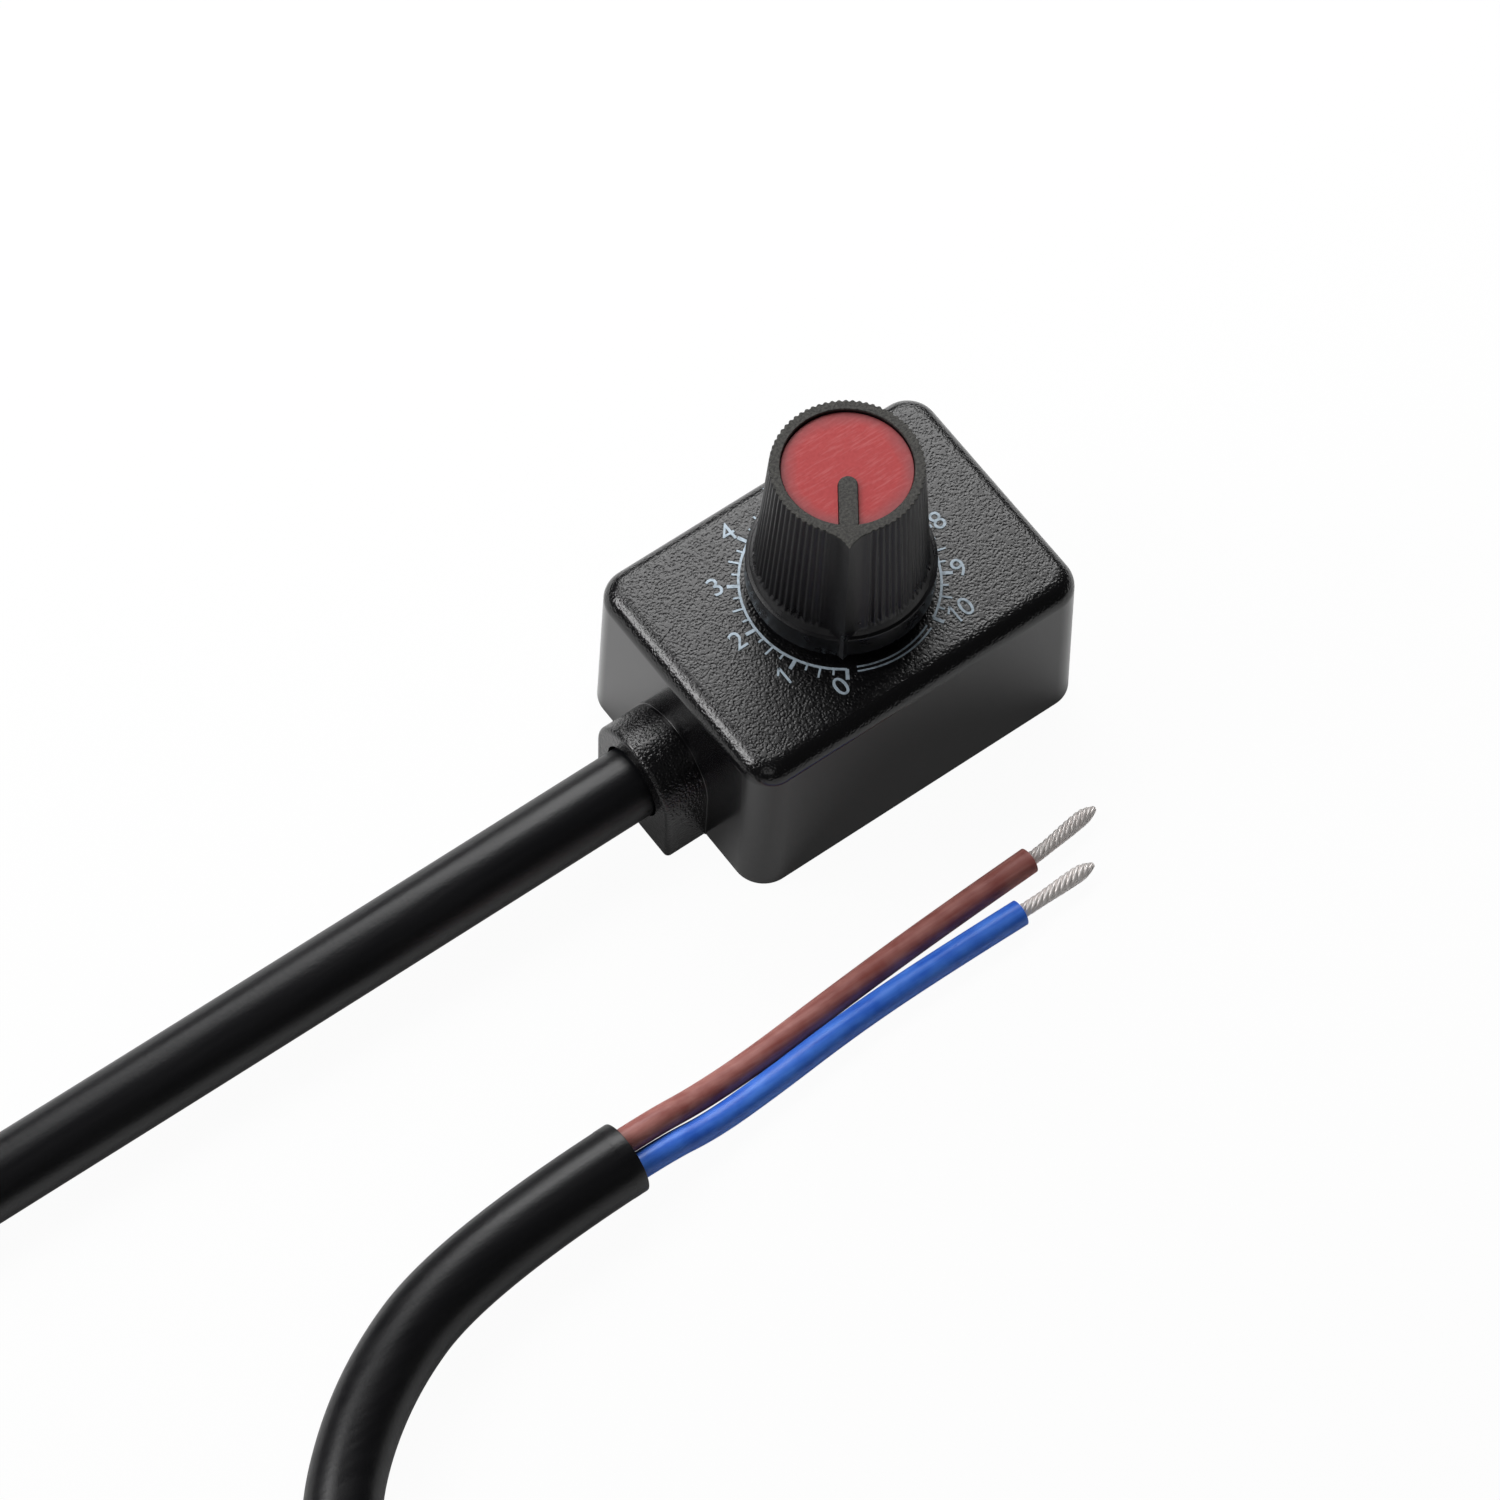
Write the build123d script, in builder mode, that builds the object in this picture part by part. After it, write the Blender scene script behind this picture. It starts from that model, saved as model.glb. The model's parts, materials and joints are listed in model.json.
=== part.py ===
from build123d import *
import os
from math import cos, pi, radians, sin, tan

# Rotary dimmer: a dial potentiometer in a small plastic case, with a fluted pointer knob and a
# two-core lead. Millimetres, +Z up. The origin is the centre of the case's underside, +X runs along
# the case away from the cable, and the case's near long side faces -Y.

os.makedirs("parts", exist_ok=True)


def save(node, name):
    """Label a finished piece and write it as its own STEP file."""
    node.part.label = name
    export_step(node.part, f"parts/{name}.step")


# Case shell
case_length = 32.4
case_width = 23.3
case_height = 16.7
case_draft = 1.24
case_corner_radius = 2.6
case_top_edge = 1.7
side_wall = 1.7
top_wall = 1.8
cavity_corner_radius = 0.9

# Cable collar, an arch that stands on the same plane as the case
collar_radius = 4.8
collar_axis_z = 5.4
collar_length = 3.75
collar_edge = 0.4
cable_hole_radius = 3.2

# Base cover, let into a rebate of the shell
cover_thickness = 1.2
cover_ledge = 0.7
cover_gap = 0.1

# Base screws and the posts that take them
screw_end_inset = 3.6
screw_side_inset = 3.65
post_radius = 1.75
pilot_radius = 0.85
pilot_depth = 6.6
screw_core_radius = 0.8
screw_length = 6.5
screw_head_radius = 1.9
screw_hole_radius = 1.15
screw_head_sink = 0.05
recess_width = 0.45
recess_reach = 1.1
recess_depth = 0.6

# Lead: jacket, cores and their bared ends
cable_radius = 3.0
cable_axis_z = 5.3
jacket_inner_end_x = -10.6
core_radius = 1.1
strand_radius = 0.55
strand_tip_radius = 0.25
strand_taper = 1.6
brown_strand_length = 7.1
blue_strand_length = 7.3

# Cable tie behind the collar
tie_clearance = 0.05
tie_band = 0.85
tie_width = 2.5
tie_wall_gap = 0.1
tie_head_width = 4.2
tie_head_depth = 3.0
tie_head_height = 2.9
tie_tail_length = 1.0

# Potentiometer, hung under the top wall
plate_radius = 8.1
plate_thickness = 1.0
leg_width = 2.2
leg_thickness = 0.5
leg_foot = 1.3
leg_angles = (80, 145, 215, 280)
locating_tab_radius = 7.2
locating_tab_width = 2.0
locating_tab_thickness = 0.8
locating_tab_height = 0.9
tab_clearance = 0.15
wafer_thickness = 1.6
wafer_radius = 7.95
wafer_hole_radius = 3.9
tongue_solder_gap = 0.85
tongue_side = 0.2
lead_room = 5.2
can_wall = 0.4
can_radius = 8.05
can_notch = 0.4
stop_half_angle = 18.5
stop_inner_radius = 7.15

# Threaded bushing, its nut and washer
bushing_radius = 3.5
bushing_bore = 3.05
bushing_reach = 6.5
bushing_flange_radius = 4.4
bushing_chamfer = 0.4
bushing_hole_gap = 0.1
washer_thickness = 0.5
washer_radius = 6.0
washer_teeth = 12
washer_notch = 0.8
nut_across_flats = 10.0
nut_thickness = 2.0
thread_gap = 0.05

# Shaft
shaft_radius = 3.0
shaft_reach = 15.0
shaft_foot_radius = 2.4
shaft_foot_flats = 3.6
shaft_shoulder_radius = 3.6
shaft_shoulder_thickness = 0.6
shaft_float = 0.1
clip_groove_radius = 2.5
clip_thickness = 0.4
clip_radius = 3.5
clip_gap = 0.05
clip_opening = 3.6
knurl_teeth = 18
knurl_depth = 0.22
knurl_length = 7.2
shaft_slot_width = 1.0
shaft_slot_depth = 7.0

# Rotor, wiper, track and contacts
rotor_radius = 6.9
rotor_thickness = 2.4
rotor_hub_radius = 3.4
rotor_fit = 0.03
rotor_drop = 0.5
rotor_lug_radius = 7.5
rotor_lug_half_angle = 12.0
wiper_thickness = 0.2
wiper_bore = 3.45
wiper_ring_radius = 5.0
wiper_reach = 6.7
wiper_half_angle = 14.0
wiper_finger_radius = 0.35
contact_gap = 0.05
film_thickness = 0.15
collector_inner = 4.1
collector_outer = 4.8
collector_strip_width = 1.0
track_inner = 5.5
track_outer = 6.8
track_half_gap = 24.0
terminal_width = 1.8
terminal_thickness = 0.4
terminal_wall_gap = 1.3
terminal_hole_radius = 0.6
terminal_hole_inset = 1.0
terminal_root = 1.0
rivet_inset = 1.0
rivet_radius = 0.7
rivet_head = 0.25
rivet_gap = 0.05
rivet_plate_gap = 0.1
solder_radius = 0.85
solder_height = 0.75
lead_strand_radius = 0.5
lead_strand_rise = 0.3
lead_strand_drop = 1.5
lead_side_gap = 0.02
lead_floor_gap = 0.1
lead_post_gap = 0.15
lead_rise_run = 2.9
link_radius = 0.2
link_gap = 0.06

# Knob
knob_gap = 1.38
knob_height = 15.74
flange_radius = 7.5
flange_height = 2.35
flange_edge = 0.25
cone_base_radius = 6.9
cone_top_radius = 6.0
cove_height = 1.5
cove_sink = 0.1
flute_depth = 0.24
flute_count = 64
smooth_half_angle = 14.0
smooth_steps = 5
prow_top_radius = 7.28
prow_base_radius = 7.87
prow_half_angle = 45.0
prow_root_radius = 4.5
pointer_angle = -125.4
pointer_width = 1.5
pointer_start = 0.8
pointer_root = 0.2
disc_radius = 5.13
disc_recess = 0.35
disc_gap = 0.04
disc_thickness = 1.2
disc_peg_radius = 1.2
disc_peg_length = 1.3
skirt_bore_radius = 6.2
skirt_depth = 4.0
hub_radius = 4.0
core_slot_radius = 4.9
core_slot_top = 2.6
hub_fit = 0.05
hub_lift = 0.15

# Printed scale
print_thickness = 0.06
scale_radius = 7.94
scale_line = 0.2
scale_start = -122.7
scale_sweep = 297.7
scale_numbers = 10
tick_line = 0.17
short_tick_end = 8.5
long_tick_end = 8.87
number_tick_line = 0.3
dead_arc_radii = (7.8, 8.2)
dead_arc_line = 0.14
dead_arc_start = -117.0
dead_arc_sweep = 50.5

# Turning range, from the stop at 0 clockwise to the stop at 10
turn_range = 298.0

# Places across the case that follow from the sizes above
shell_half_length = case_length / 2
collar_end_x = -shell_half_length - collar_length
screw_x = shell_half_length - screw_end_inset
screw_y = case_width / 2 - screw_side_inset
terminal_pitch = screw_y - post_radius - core_radius - lead_post_gap
tongue_width = 2 * (terminal_pitch + terminal_width / 2 + tongue_side)
terminal_end_x = shell_half_length - side_wall - terminal_wall_gap
terminal_wire_x = terminal_end_x - terminal_hole_inset
tongue_reach = terminal_wire_x - solder_radius - tongue_solder_gap
rivet_x = tongue_reach - rivet_inset
terminal_start_x = rivet_x - terminal_root
plate_flat_x = rivet_x - rivet_radius - rivet_head - rivet_plate_gap

# Heights that follow from the sizes above
top_inside_z = case_height - top_wall
plate_z = top_inside_z - plate_thickness
wafer_z = plate_z - wafer_thickness
can_z = cover_thickness + lead_room
can_height = wafer_z - can_z
bushing_top_z = top_inside_z + bushing_reach
washer_top_z = case_height + washer_thickness
film_z = wafer_z - film_thickness
wiper_top_z = film_z - contact_gap
rotor_top_z = wafer_z - rotor_drop
rotor_z = rotor_top_z - rotor_thickness
shoulder_z = plate_z - shaft_float - shaft_shoulder_thickness
shaft_top_z = top_inside_z + shaft_reach
knob_z = case_height + knob_gap
knob_top_z = knob_z + knob_height
flange_top_z = knob_z + flange_height
disc_top_z = knob_top_z - disc_recess
disc_z = disc_top_z - disc_thickness
wiper_angle = turn_range / 2 - 180
terminal_z = wafer_z - terminal_thickness


# Case shell with its collar, screw posts and openings
with BuildPart() as case_shell:
    with BuildSketch():
        RectangleRounded(case_length, case_width, case_corner_radius)
    extrude(amount=case_height, taper=case_draft)
    fillet(case_shell.faces().sort_by(Axis.Z)[-1].edges(), radius=case_top_edge)
    with BuildSketch(Plane.YZ.offset(collar_end_x)):
        with Locations((0, collar_axis_z)):
            Circle(collar_radius)
        Rectangle(2 * collar_radius, collar_axis_z, align=(Align.CENTER, Align.MIN))
    extrude(amount=collar_length + side_wall / 2)
    collar_rim = case_shell.faces().sort_by(Axis.X)[0].edges()
    fillet(collar_rim.filter_by(lambda edge: edge.center().Z > collar_edge), radius=collar_edge)
    with BuildSketch():
        RectangleRounded(case_length - 2 * side_wall, case_width - 2 * side_wall, cavity_corner_radius)
    extrude(amount=top_inside_z, taper=case_draft, mode=Mode.SUBTRACT)
    post_outer_x = shell_half_length - side_wall / 2 - top_inside_z * tan(radians(case_draft))
    post_outer_y = case_width / 2 - side_wall / 2 - top_inside_z * tan(radians(case_draft))
    post_length = post_outer_x - screw_x + post_radius
    post_width = post_outer_y - screw_y + post_radius
    with BuildSketch(Plane.XY.offset(cover_thickness)):
        with GridLocations(2 * post_outer_x - post_length, 2 * post_outer_y - post_width, 2, 2):
            RectangleRounded(post_length, post_width, cavity_corner_radius)
    extrude(amount=top_inside_z - cover_thickness)
    with BuildSketch():
        RectangleRounded(
            case_length - 2 * (side_wall - cover_ledge),
            case_width - 2 * (side_wall - cover_ledge),
            cavity_corner_radius + cover_ledge,
        )
    extrude(amount=cover_thickness, mode=Mode.SUBTRACT)
    with BuildSketch(Plane.XY.offset(cover_thickness)):
        with GridLocations(2 * screw_x, 2 * screw_y, 2, 2):
            Circle(pilot_radius)
    extrude(amount=pilot_depth, mode=Mode.SUBTRACT)
    with BuildSketch(Plane.XY.offset(top_inside_z)):
        Circle(bushing_radius + bushing_hole_gap)
    extrude(amount=top_wall, mode=Mode.SUBTRACT)
    with BuildSketch(Plane.XY.offset(top_inside_z)):
        with Locations((-locating_tab_radius, 0)):
            Rectangle(
                locating_tab_thickness + 2 * tab_clearance, locating_tab_width + 2 * tab_clearance
            )
    extrude(amount=locating_tab_height + tab_clearance, mode=Mode.SUBTRACT)
    with BuildSketch(Plane.YZ.offset(collar_end_x)):
        with Locations((0, collar_axis_z)):
            Circle(cable_hole_radius)
    extrude(amount=collar_length + 2 * side_wall, mode=Mode.SUBTRACT)
save(case_shell, "case_shell")

# Base cover with countersunk holes
cover_length = case_length - 2 * (side_wall - cover_ledge + cover_gap)
cover_width = case_width - 2 * (side_wall - cover_ledge + cover_gap)
with BuildPart() as base_cover:
    with BuildSketch():
        RectangleRounded(cover_length, cover_width, cavity_corner_radius + cover_ledge - cover_gap)
    extrude(amount=cover_thickness)
    with Locations(Location((0, 0, 0), (180, 0, 0))):
        with GridLocations(2 * screw_x, 2 * screw_y, 2, 2):
            CounterSinkHole(
                screw_hole_radius, screw_head_radius + cover_gap, depth=cover_thickness,
                counter_sink_angle=90,
            )
save(base_cover, "base_cover")

# Four countersunk self-tapping screws
screw_places = [(x, y) for x in (-screw_x, screw_x) for y in (-screw_y, screw_y)]
for number, (x, y) in enumerate(screw_places, start=1):
    head_depth = screw_head_radius - screw_core_radius
    with BuildPart() as base_screw:
        with BuildSketch(Plane.XZ.offset(-y)):
            with BuildLine():
                Polyline(
                    (x, screw_head_sink),
                    (x + screw_head_radius, screw_head_sink),
                    (x + screw_core_radius, screw_head_sink + head_depth),
                    (x + screw_core_radius, screw_length - screw_core_radius),
                    (x, screw_length),
                    close=True,
                )
            make_face()
        revolve(axis=Axis((x, y, 0), (0, 0, 1)))
        with BuildSketch(Plane.XY.offset(screw_head_sink)):
            with Locations((x, y)):
                Rectangle(2 * recess_reach, recess_width)
                Rectangle(recess_width, 2 * recess_reach)
        extrude(amount=recess_depth, mode=Mode.SUBTRACT)
    save(base_screw, f"base_screw_{number}")

# Cable tie: band, head and cut tail
tie_inner = cable_radius + tie_clearance
tie_outer = tie_inner + tie_band
tie_top_z = cable_axis_z + tie_outer + tie_head_height + tie_tail_length
tie_x = -shell_half_length + side_wall + tie_top_z * tan(radians(case_draft)) + tie_wall_gap
with BuildPart() as cable_tie:
    with BuildSketch(Plane.YZ.offset(tie_x)):
        with Locations((0, cable_axis_z)):
            Circle(tie_outer)
            Circle(tie_inner, mode=Mode.SUBTRACT)
    extrude(amount=tie_width)
    head_z = cable_axis_z + tie_inner + tie_band / 2
    with BuildSketch(Plane.XY.offset(head_z)):
        with Locations((tie_x + tie_head_depth / 2, 0)):
            Rectangle(tie_head_depth, tie_head_width)
    extrude(amount=tie_head_height)
    fillet(cable_tie.edges().group_by(Axis.Z)[-1], radius=tie_band / 3)
    with BuildSketch(Plane.XY.offset(head_z + tie_head_height)):
        with Locations((tie_x + tie_width / 2, tie_head_width / 4)):
            Rectangle(tie_width - tie_band, tie_band)
    extrude(amount=tie_tail_length)
save(cable_tie, "cable_tie")


# Lead: each route is straight runs joined by tangent arcs, points chosen by hand
def corner_radii(points, share=0.45):
    """The largest even arc at each corner: a share of the shorter run, over half the turn's tangent."""
    radii = []
    for before, here, after in zip(points, points[1:], points[2:]):
        run_in, run_out = Vector(here) - Vector(before), Vector(after) - Vector(here)
        half_turn = radians(run_in.get_angle(run_out) / 2)
        radii.append(share * min(run_in.length, run_out.length) / tan(half_turn))
    return radii


def route_line(points):
    """The centre line of a cord and a plane square to its first run."""
    with BuildLine() as line:
        FilletPolyline(*points, radius=corner_radii(points))
    start = Plane(origin=points[0], z_dir=Vector(points[1]) - Vector(points[0]))
    return line, start


cable_route = [
    (jacket_inner_end_x, 0, cable_axis_z),
    (-27.0, 0.0, 5.25),
    (-58.0, 0.85, 3.35),
    (-88.0, 1.15, 3.0),
    (-123.0, 1.0, 3.0),
    (-141.1, -11.7, 3.0),
    (-148.7, -32.4, 3.0),
    (-143.0, -53.7, 3.0),
    (-126.0, -67.9, 3.0),
    (-104.1, -69.8, 3.0),
    (-84.9, -58.8, 3.0),
    (-75.6, -38.9, 3.0),
    (-66.1, -30.0, 3.0),
    (-54.0, -25.4, 3.0),
    (-38.7, -25.4, 3.0),
]
brown_route = [
    (-38.7, -24.4, 3.5),
    (-35.7, -24.4, 3.5),
    (-31.2, -24.15, 2.0),
    (-25.4, -23.75, 1.1),
    (-16.4, -23.05, 1.1),
    (-6.2, -22.45, 1.1),
    (2.8, -22.15, 1.1),
]
blue_route = [
    (-38.7, -26.35, 2.45),
    (-35.7, -26.35, 2.45),
    (-31.5, -26.45, 1.5),
    (-26.0, -26.1, 1.1),
    (-17.0, -25.4, 1.1),
    (-8.0, -25.3, 1.1),
    (-0.6, -25.45, 1.1),
]

cable_line, cable_start = route_line(cable_route)
with BuildPart() as cable_jacket:
    with BuildSketch(cable_start):
        Circle(cable_radius)
    sweep(path=cable_line.wires()[0])
save(cable_jacket, "cable_jacket")

brown_line, brown_start = route_line(brown_route)
with BuildPart() as brown_wire:
    with BuildSketch(brown_start):
        Circle(core_radius)
    sweep(path=brown_line.wires()[0])
save(brown_wire, "brown_wire")

blue_line, blue_start = route_line(blue_route)
with BuildPart() as blue_wire:
    with BuildSketch(blue_start):
        Circle(core_radius)
    sweep(path=blue_line.wires()[0])
save(blue_wire, "blue_wire")

for name, line, radius, node, route in (
    ("cable jacket", cable_line, cable_radius, cable_jacket, cable_route),
    ("brown wire", brown_line, core_radius, brown_wire, brown_route),
    ("blue wire", blue_line, core_radius, blue_wire, blue_route),
):
    length = line.wires()[0].length
    share = node.part.volume / (pi * radius**2 * length)
    print(f"{name}: {length:.1f} mm, volume over section times length {share:.4f}, radii",
          [round(r, 1) for r in corner_radii(route)])


# Twisted and tinned ends of the two cores
def strand_plane(route):
    """A plane at the end of a core, facing along its last run."""
    return Plane(origin=route[-1], z_dir=Vector(route[-1]) - Vector(route[-2]))


brown_end = strand_plane(brown_route)
with BuildPart() as brown_wire_tip:
    with BuildSketch(brown_end):
        Circle(strand_radius)
    extrude(amount=brown_strand_length - strand_taper)
    with BuildSketch(brown_end.offset(brown_strand_length - strand_taper)):
        Circle(strand_radius)
    with BuildSketch(brown_end.offset(brown_strand_length)):
        Circle(strand_tip_radius)
    loft()
save(brown_wire_tip, "brown_wire_tip")

blue_end = strand_plane(blue_route)
with BuildPart() as blue_wire_tip:
    with BuildSketch(blue_end):
        Circle(strand_radius)
    extrude(amount=blue_strand_length - strand_taper)
    with BuildSketch(blue_end.offset(blue_strand_length - strand_taper)):
        Circle(strand_radius)
    with BuildSketch(blue_end.offset(blue_strand_length)):
        Circle(strand_tip_radius)
    loft()
save(blue_wire_tip, "blue_wire_tip")

# Leads inside the case, from the jacket under the can and up to the terminals
lead_side_y = core_radius + lead_side_gap
lead_floor_z = cover_thickness + core_radius + lead_floor_gap
lead_top_z = terminal_z - lead_strand_drop
brown_lead_route = [
    (jacket_inner_end_x, lead_side_y, cable_axis_z),
    (-8.4, lead_side_y, cable_axis_z),
    (-5.6, 1.9, 3.6),
    (-1.6, 3.0, lead_floor_z),
    (3.5, 4.5, lead_floor_z),
    (terminal_wire_x - lead_rise_run, terminal_pitch, 2.7),
    (terminal_wire_x, terminal_pitch, 5.6),
    (terminal_wire_x, terminal_pitch, lead_top_z),
]
blue_lead_route = [
    (jacket_inner_end_x, -lead_side_y, cable_axis_z),
    (-8.4, -lead_side_y, cable_axis_z),
    (-5.6, -1.6, 3.6),
    (-1.6, -1.8, lead_floor_z),
    (3.5, -0.9, lead_floor_z),
    (terminal_wire_x - lead_rise_run, 0, 2.7),
    (terminal_wire_x, 0, 5.6),
    (terminal_wire_x, 0, lead_top_z),
]

brown_lead_line, brown_lead_start = route_line(brown_lead_route)
with BuildPart() as brown_lead:
    with BuildSketch(brown_lead_start):
        Circle(core_radius)
    sweep(path=brown_lead_line.wires()[0])
save(brown_lead, "brown_lead")

blue_lead_line, blue_lead_start = route_line(blue_lead_route)
with BuildPart() as blue_lead:
    with BuildSketch(blue_lead_start):
        Circle(core_radius)
    sweep(path=blue_lead_line.wires()[0])
save(blue_lead, "blue_lead")

# Bared strands of the leads, up through the terminals
strand_top_z = wafer_z + lead_strand_rise
for name, y in (("brown_lead_strands", terminal_pitch), ("blue_lead_strands", 0)):
    with BuildPart() as lead_strands:
        with BuildSketch(Plane.XY.offset(lead_top_z)):
            with Locations((terminal_wire_x, y)):
                Circle(lead_strand_radius)
        extrude(amount=strand_top_z - lead_top_z)
    save(lead_strands, name)

# Link wire across the middle and the free outer terminal, held in their solder
link_start = lead_strand_radius + link_gap
with BuildPart() as link_wire:
    with BuildSketch(Plane.XZ.offset(link_start)):
        with Locations((terminal_wire_x, wafer_z + link_radius + link_gap)):
            Circle(link_radius)
    extrude(amount=terminal_pitch)
save(link_wire, "link_wire")


# Potentiometer: front plate, clear of the rivets, with four bent legs and a locating tab
with BuildPart() as pot_front_plate:
    with BuildSketch(Plane.XY.offset(plate_z)):
        Circle(plate_radius)
        Circle(bushing_flange_radius, mode=Mode.SUBTRACT)
        with Locations((plate_flat_x, 0)):
            Rectangle(
                plate_radius, 2 * plate_radius, align=(Align.MIN, Align.CENTER), mode=Mode.SUBTRACT
            )
    extrude(amount=plate_thickness)
    leg_inner = can_radius + tab_clearance
    leg_outer = leg_inner + leg_thickness
    for angle in leg_angles:
        with BuildSketch(Plane.XY.offset(can_z - leg_thickness)):
            with Locations(Location((0, 0, 0), (0, 0, angle))):
                with Locations((leg_outer - leg_thickness / 2, 0)):
                    Rectangle(leg_thickness, leg_width)
        extrude(amount=top_inside_z - can_z + leg_thickness)
        with BuildSketch(Plane.XY.offset(plate_z)):
            with Locations(Location((0, 0, 0), (0, 0, angle))):
                with Locations((leg_outer - leg_foot / 2, 0)):
                    Rectangle(leg_foot, leg_width)
        extrude(amount=plate_thickness)
        with BuildSketch(Plane.XY.offset(can_z - leg_thickness)):
            with Locations(Location((0, 0, 0), (0, 0, angle))):
                with Locations((leg_outer - leg_foot / 2, 0)):
                    Rectangle(leg_foot, leg_width)
        extrude(amount=leg_thickness)
    with BuildSketch(Plane.XY.offset(top_inside_z)):
        with Locations((-locating_tab_radius, 0)):
            Rectangle(locating_tab_thickness, locating_tab_width)
    extrude(amount=locating_tab_height)
save(pot_front_plate, "pot_front_plate")

# Contact wafer with the tongue that carries the terminals
terminal_ys = (-terminal_pitch, 0, terminal_pitch)
with BuildPart() as pot_wafer:
    with BuildSketch(Plane.XY.offset(wafer_z)):
        Circle(wafer_radius)
        Rectangle(tongue_reach, tongue_width, align=(Align.MIN, Align.CENTER))
        Circle(wafer_hole_radius, mode=Mode.SUBTRACT)
        with Locations(*[(rivet_x, y) for y in terminal_ys]):
            Circle(rivet_radius + rivet_gap, mode=Mode.SUBTRACT)
    extrude(amount=wafer_thickness)
save(pot_wafer, "pot_wafer")


def ring_sector(inner, outer, middle, half_angle):
    """A ring sector about the origin, as a sketch to add."""
    with BuildSketch() as sector:
        with BuildLine():
            start, sweep_angle = middle - half_angle, 2 * half_angle
            outer_arc = CenterArc((0, 0), outer, start, sweep_angle)
            inner_arc = CenterArc((0, 0), inner, start, sweep_angle)
            Line(outer_arc @ 0, inner_arc @ 0)
            Line(outer_arc @ 1, inner_arc @ 1)
        make_face()
    return sector.sketch


# Resistive track: a horseshoe whose ends run out to the outer terminals
with BuildPart() as resistive_track:
    with BuildSketch(Plane.XY.offset(film_z)):
        add(ring_sector(track_inner, track_outer, 180, 180 - track_half_gap))
        for side in (-1, 1):
            end = radians(track_half_gap)
            with BuildLine():
                Polyline(
                    (track_inner * cos(end), side * track_inner * sin(end)),
                    (terminal_start_x, side * (terminal_pitch - terminal_width / 2)),
                    (terminal_start_x, side * terminal_pitch),
                    (track_outer * cos(2 * end), side * track_outer * sin(2 * end)),
                    close=True,
                )
            make_face()
    extrude(amount=film_thickness)
save(resistive_track, "resistive_track")

# Collector ring, the middle contact of the wafer
with BuildPart() as collector_ring:
    with BuildSketch(Plane.XY.offset(film_z)):
        Circle(collector_outer)
        Rectangle(terminal_start_x, collector_strip_width, align=(Align.MIN, Align.CENTER))
        Circle(collector_inner, mode=Mode.SUBTRACT)
    extrude(amount=film_thickness)
save(collector_ring, "collector_ring")

# Three terminals, riveted to the tongue
for name, y in zip(("terminal_start", "terminal_wiper", "terminal_end"), terminal_ys):
    with BuildPart() as terminal:
        with BuildSketch(Plane.XY.offset(terminal_z)):
            with Locations((terminal_start_x, y)):
                Rectangle(
                    terminal_end_x - terminal_start_x, terminal_width, align=(Align.MIN, Align.CENTER)
                )
        extrude(amount=terminal_thickness)
        fillet(
            terminal.edges().filter_by(Axis.Z).group_by(Axis.X)[-1], radius=terminal_width / 3
        )
        with BuildSketch(Plane.XY.offset(terminal_z)):
            with Locations((terminal_wire_x, y)):
                Circle(terminal_hole_radius)
        extrude(amount=terminal_thickness, mode=Mode.SUBTRACT)
        with BuildSketch(Plane.XY.offset(wafer_z)):
            with Locations((rivet_x, y)):
                Circle(rivet_radius)
        extrude(amount=wafer_thickness)
        with BuildSketch(Plane.XY.offset(plate_z)):
            with Locations((rivet_x, y)):
                Circle(rivet_radius + rivet_head)
        extrude(amount=rivet_head)
    save(terminal, name)

# Solder joints on the terminals, round the strands and the link wire
solder_dome = (solder_radius**2 + solder_height**2) / (2 * solder_height)
for name, y in zip(("solder_start", "solder_wiper", "solder_end"), terminal_ys):
    base_right = (terminal_wire_x + solder_radius, wafer_z)
    crown = (terminal_wire_x, wafer_z + solder_height)
    strand_pocket = [
        (terminal_wire_x, strand_top_z),
        (terminal_wire_x + lead_strand_radius, strand_top_z),
        (terminal_wire_x + lead_strand_radius, wafer_z),
    ]
    with BuildPart() as solder:
        with BuildSketch(Plane.XZ.offset(-y)):
            with BuildLine():
                Polyline(crown, *(strand_pocket if y >= 0 else [(terminal_wire_x, wafer_z)]), base_right)
                RadiusArc(base_right, crown, -solder_dome)
            make_face()
        revolve(axis=Axis((terminal_wire_x, y, 0), (0, 0, 1)))
        if y <= 0:
            add(link_wire.part, mode=Mode.SUBTRACT)
    save(solder, name)

# Metal can with its inward stop
with BuildPart() as pot_can:
    with BuildSketch(Plane.XY.offset(can_z)):
        Circle(can_radius)
    extrude(amount=can_height)
    with BuildSketch(Plane.XY.offset(can_z + can_wall)):
        Circle(can_radius - can_wall)
    extrude(amount=can_height - can_wall, mode=Mode.SUBTRACT)
    with BuildSketch(Plane.XY.offset(rotor_z)):
        add(ring_sector(stop_inner_radius, can_radius - can_wall / 2, 0, stop_half_angle))
    extrude(amount=rotor_thickness)
    with BuildSketch(Plane.XY.offset(wafer_z - can_notch)):
        Rectangle(can_radius + can_wall, tongue_width, align=(Align.MIN, Align.CENTER))
    extrude(amount=can_notch, mode=Mode.SUBTRACT)
save(pot_can, "pot_can")

# Threaded bushing, set in the front plate
with BuildPart() as pot_bushing:
    with BuildSketch(Plane.XY.offset(plate_z)):
        Circle(bushing_flange_radius)
    extrude(amount=plate_thickness)
    with BuildSketch(Plane.XY.offset(top_inside_z)):
        Circle(bushing_radius)
    extrude(amount=bushing_reach)
    chamfer(pot_bushing.edges().group_by(Axis.Z)[-1], length=bushing_chamfer)
    with BuildSketch(Plane.XY.offset(plate_z)):
        Circle(bushing_bore)
    extrude(amount=plate_thickness + bushing_reach, mode=Mode.SUBTRACT)
save(pot_bushing, "pot_bushing")

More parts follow.
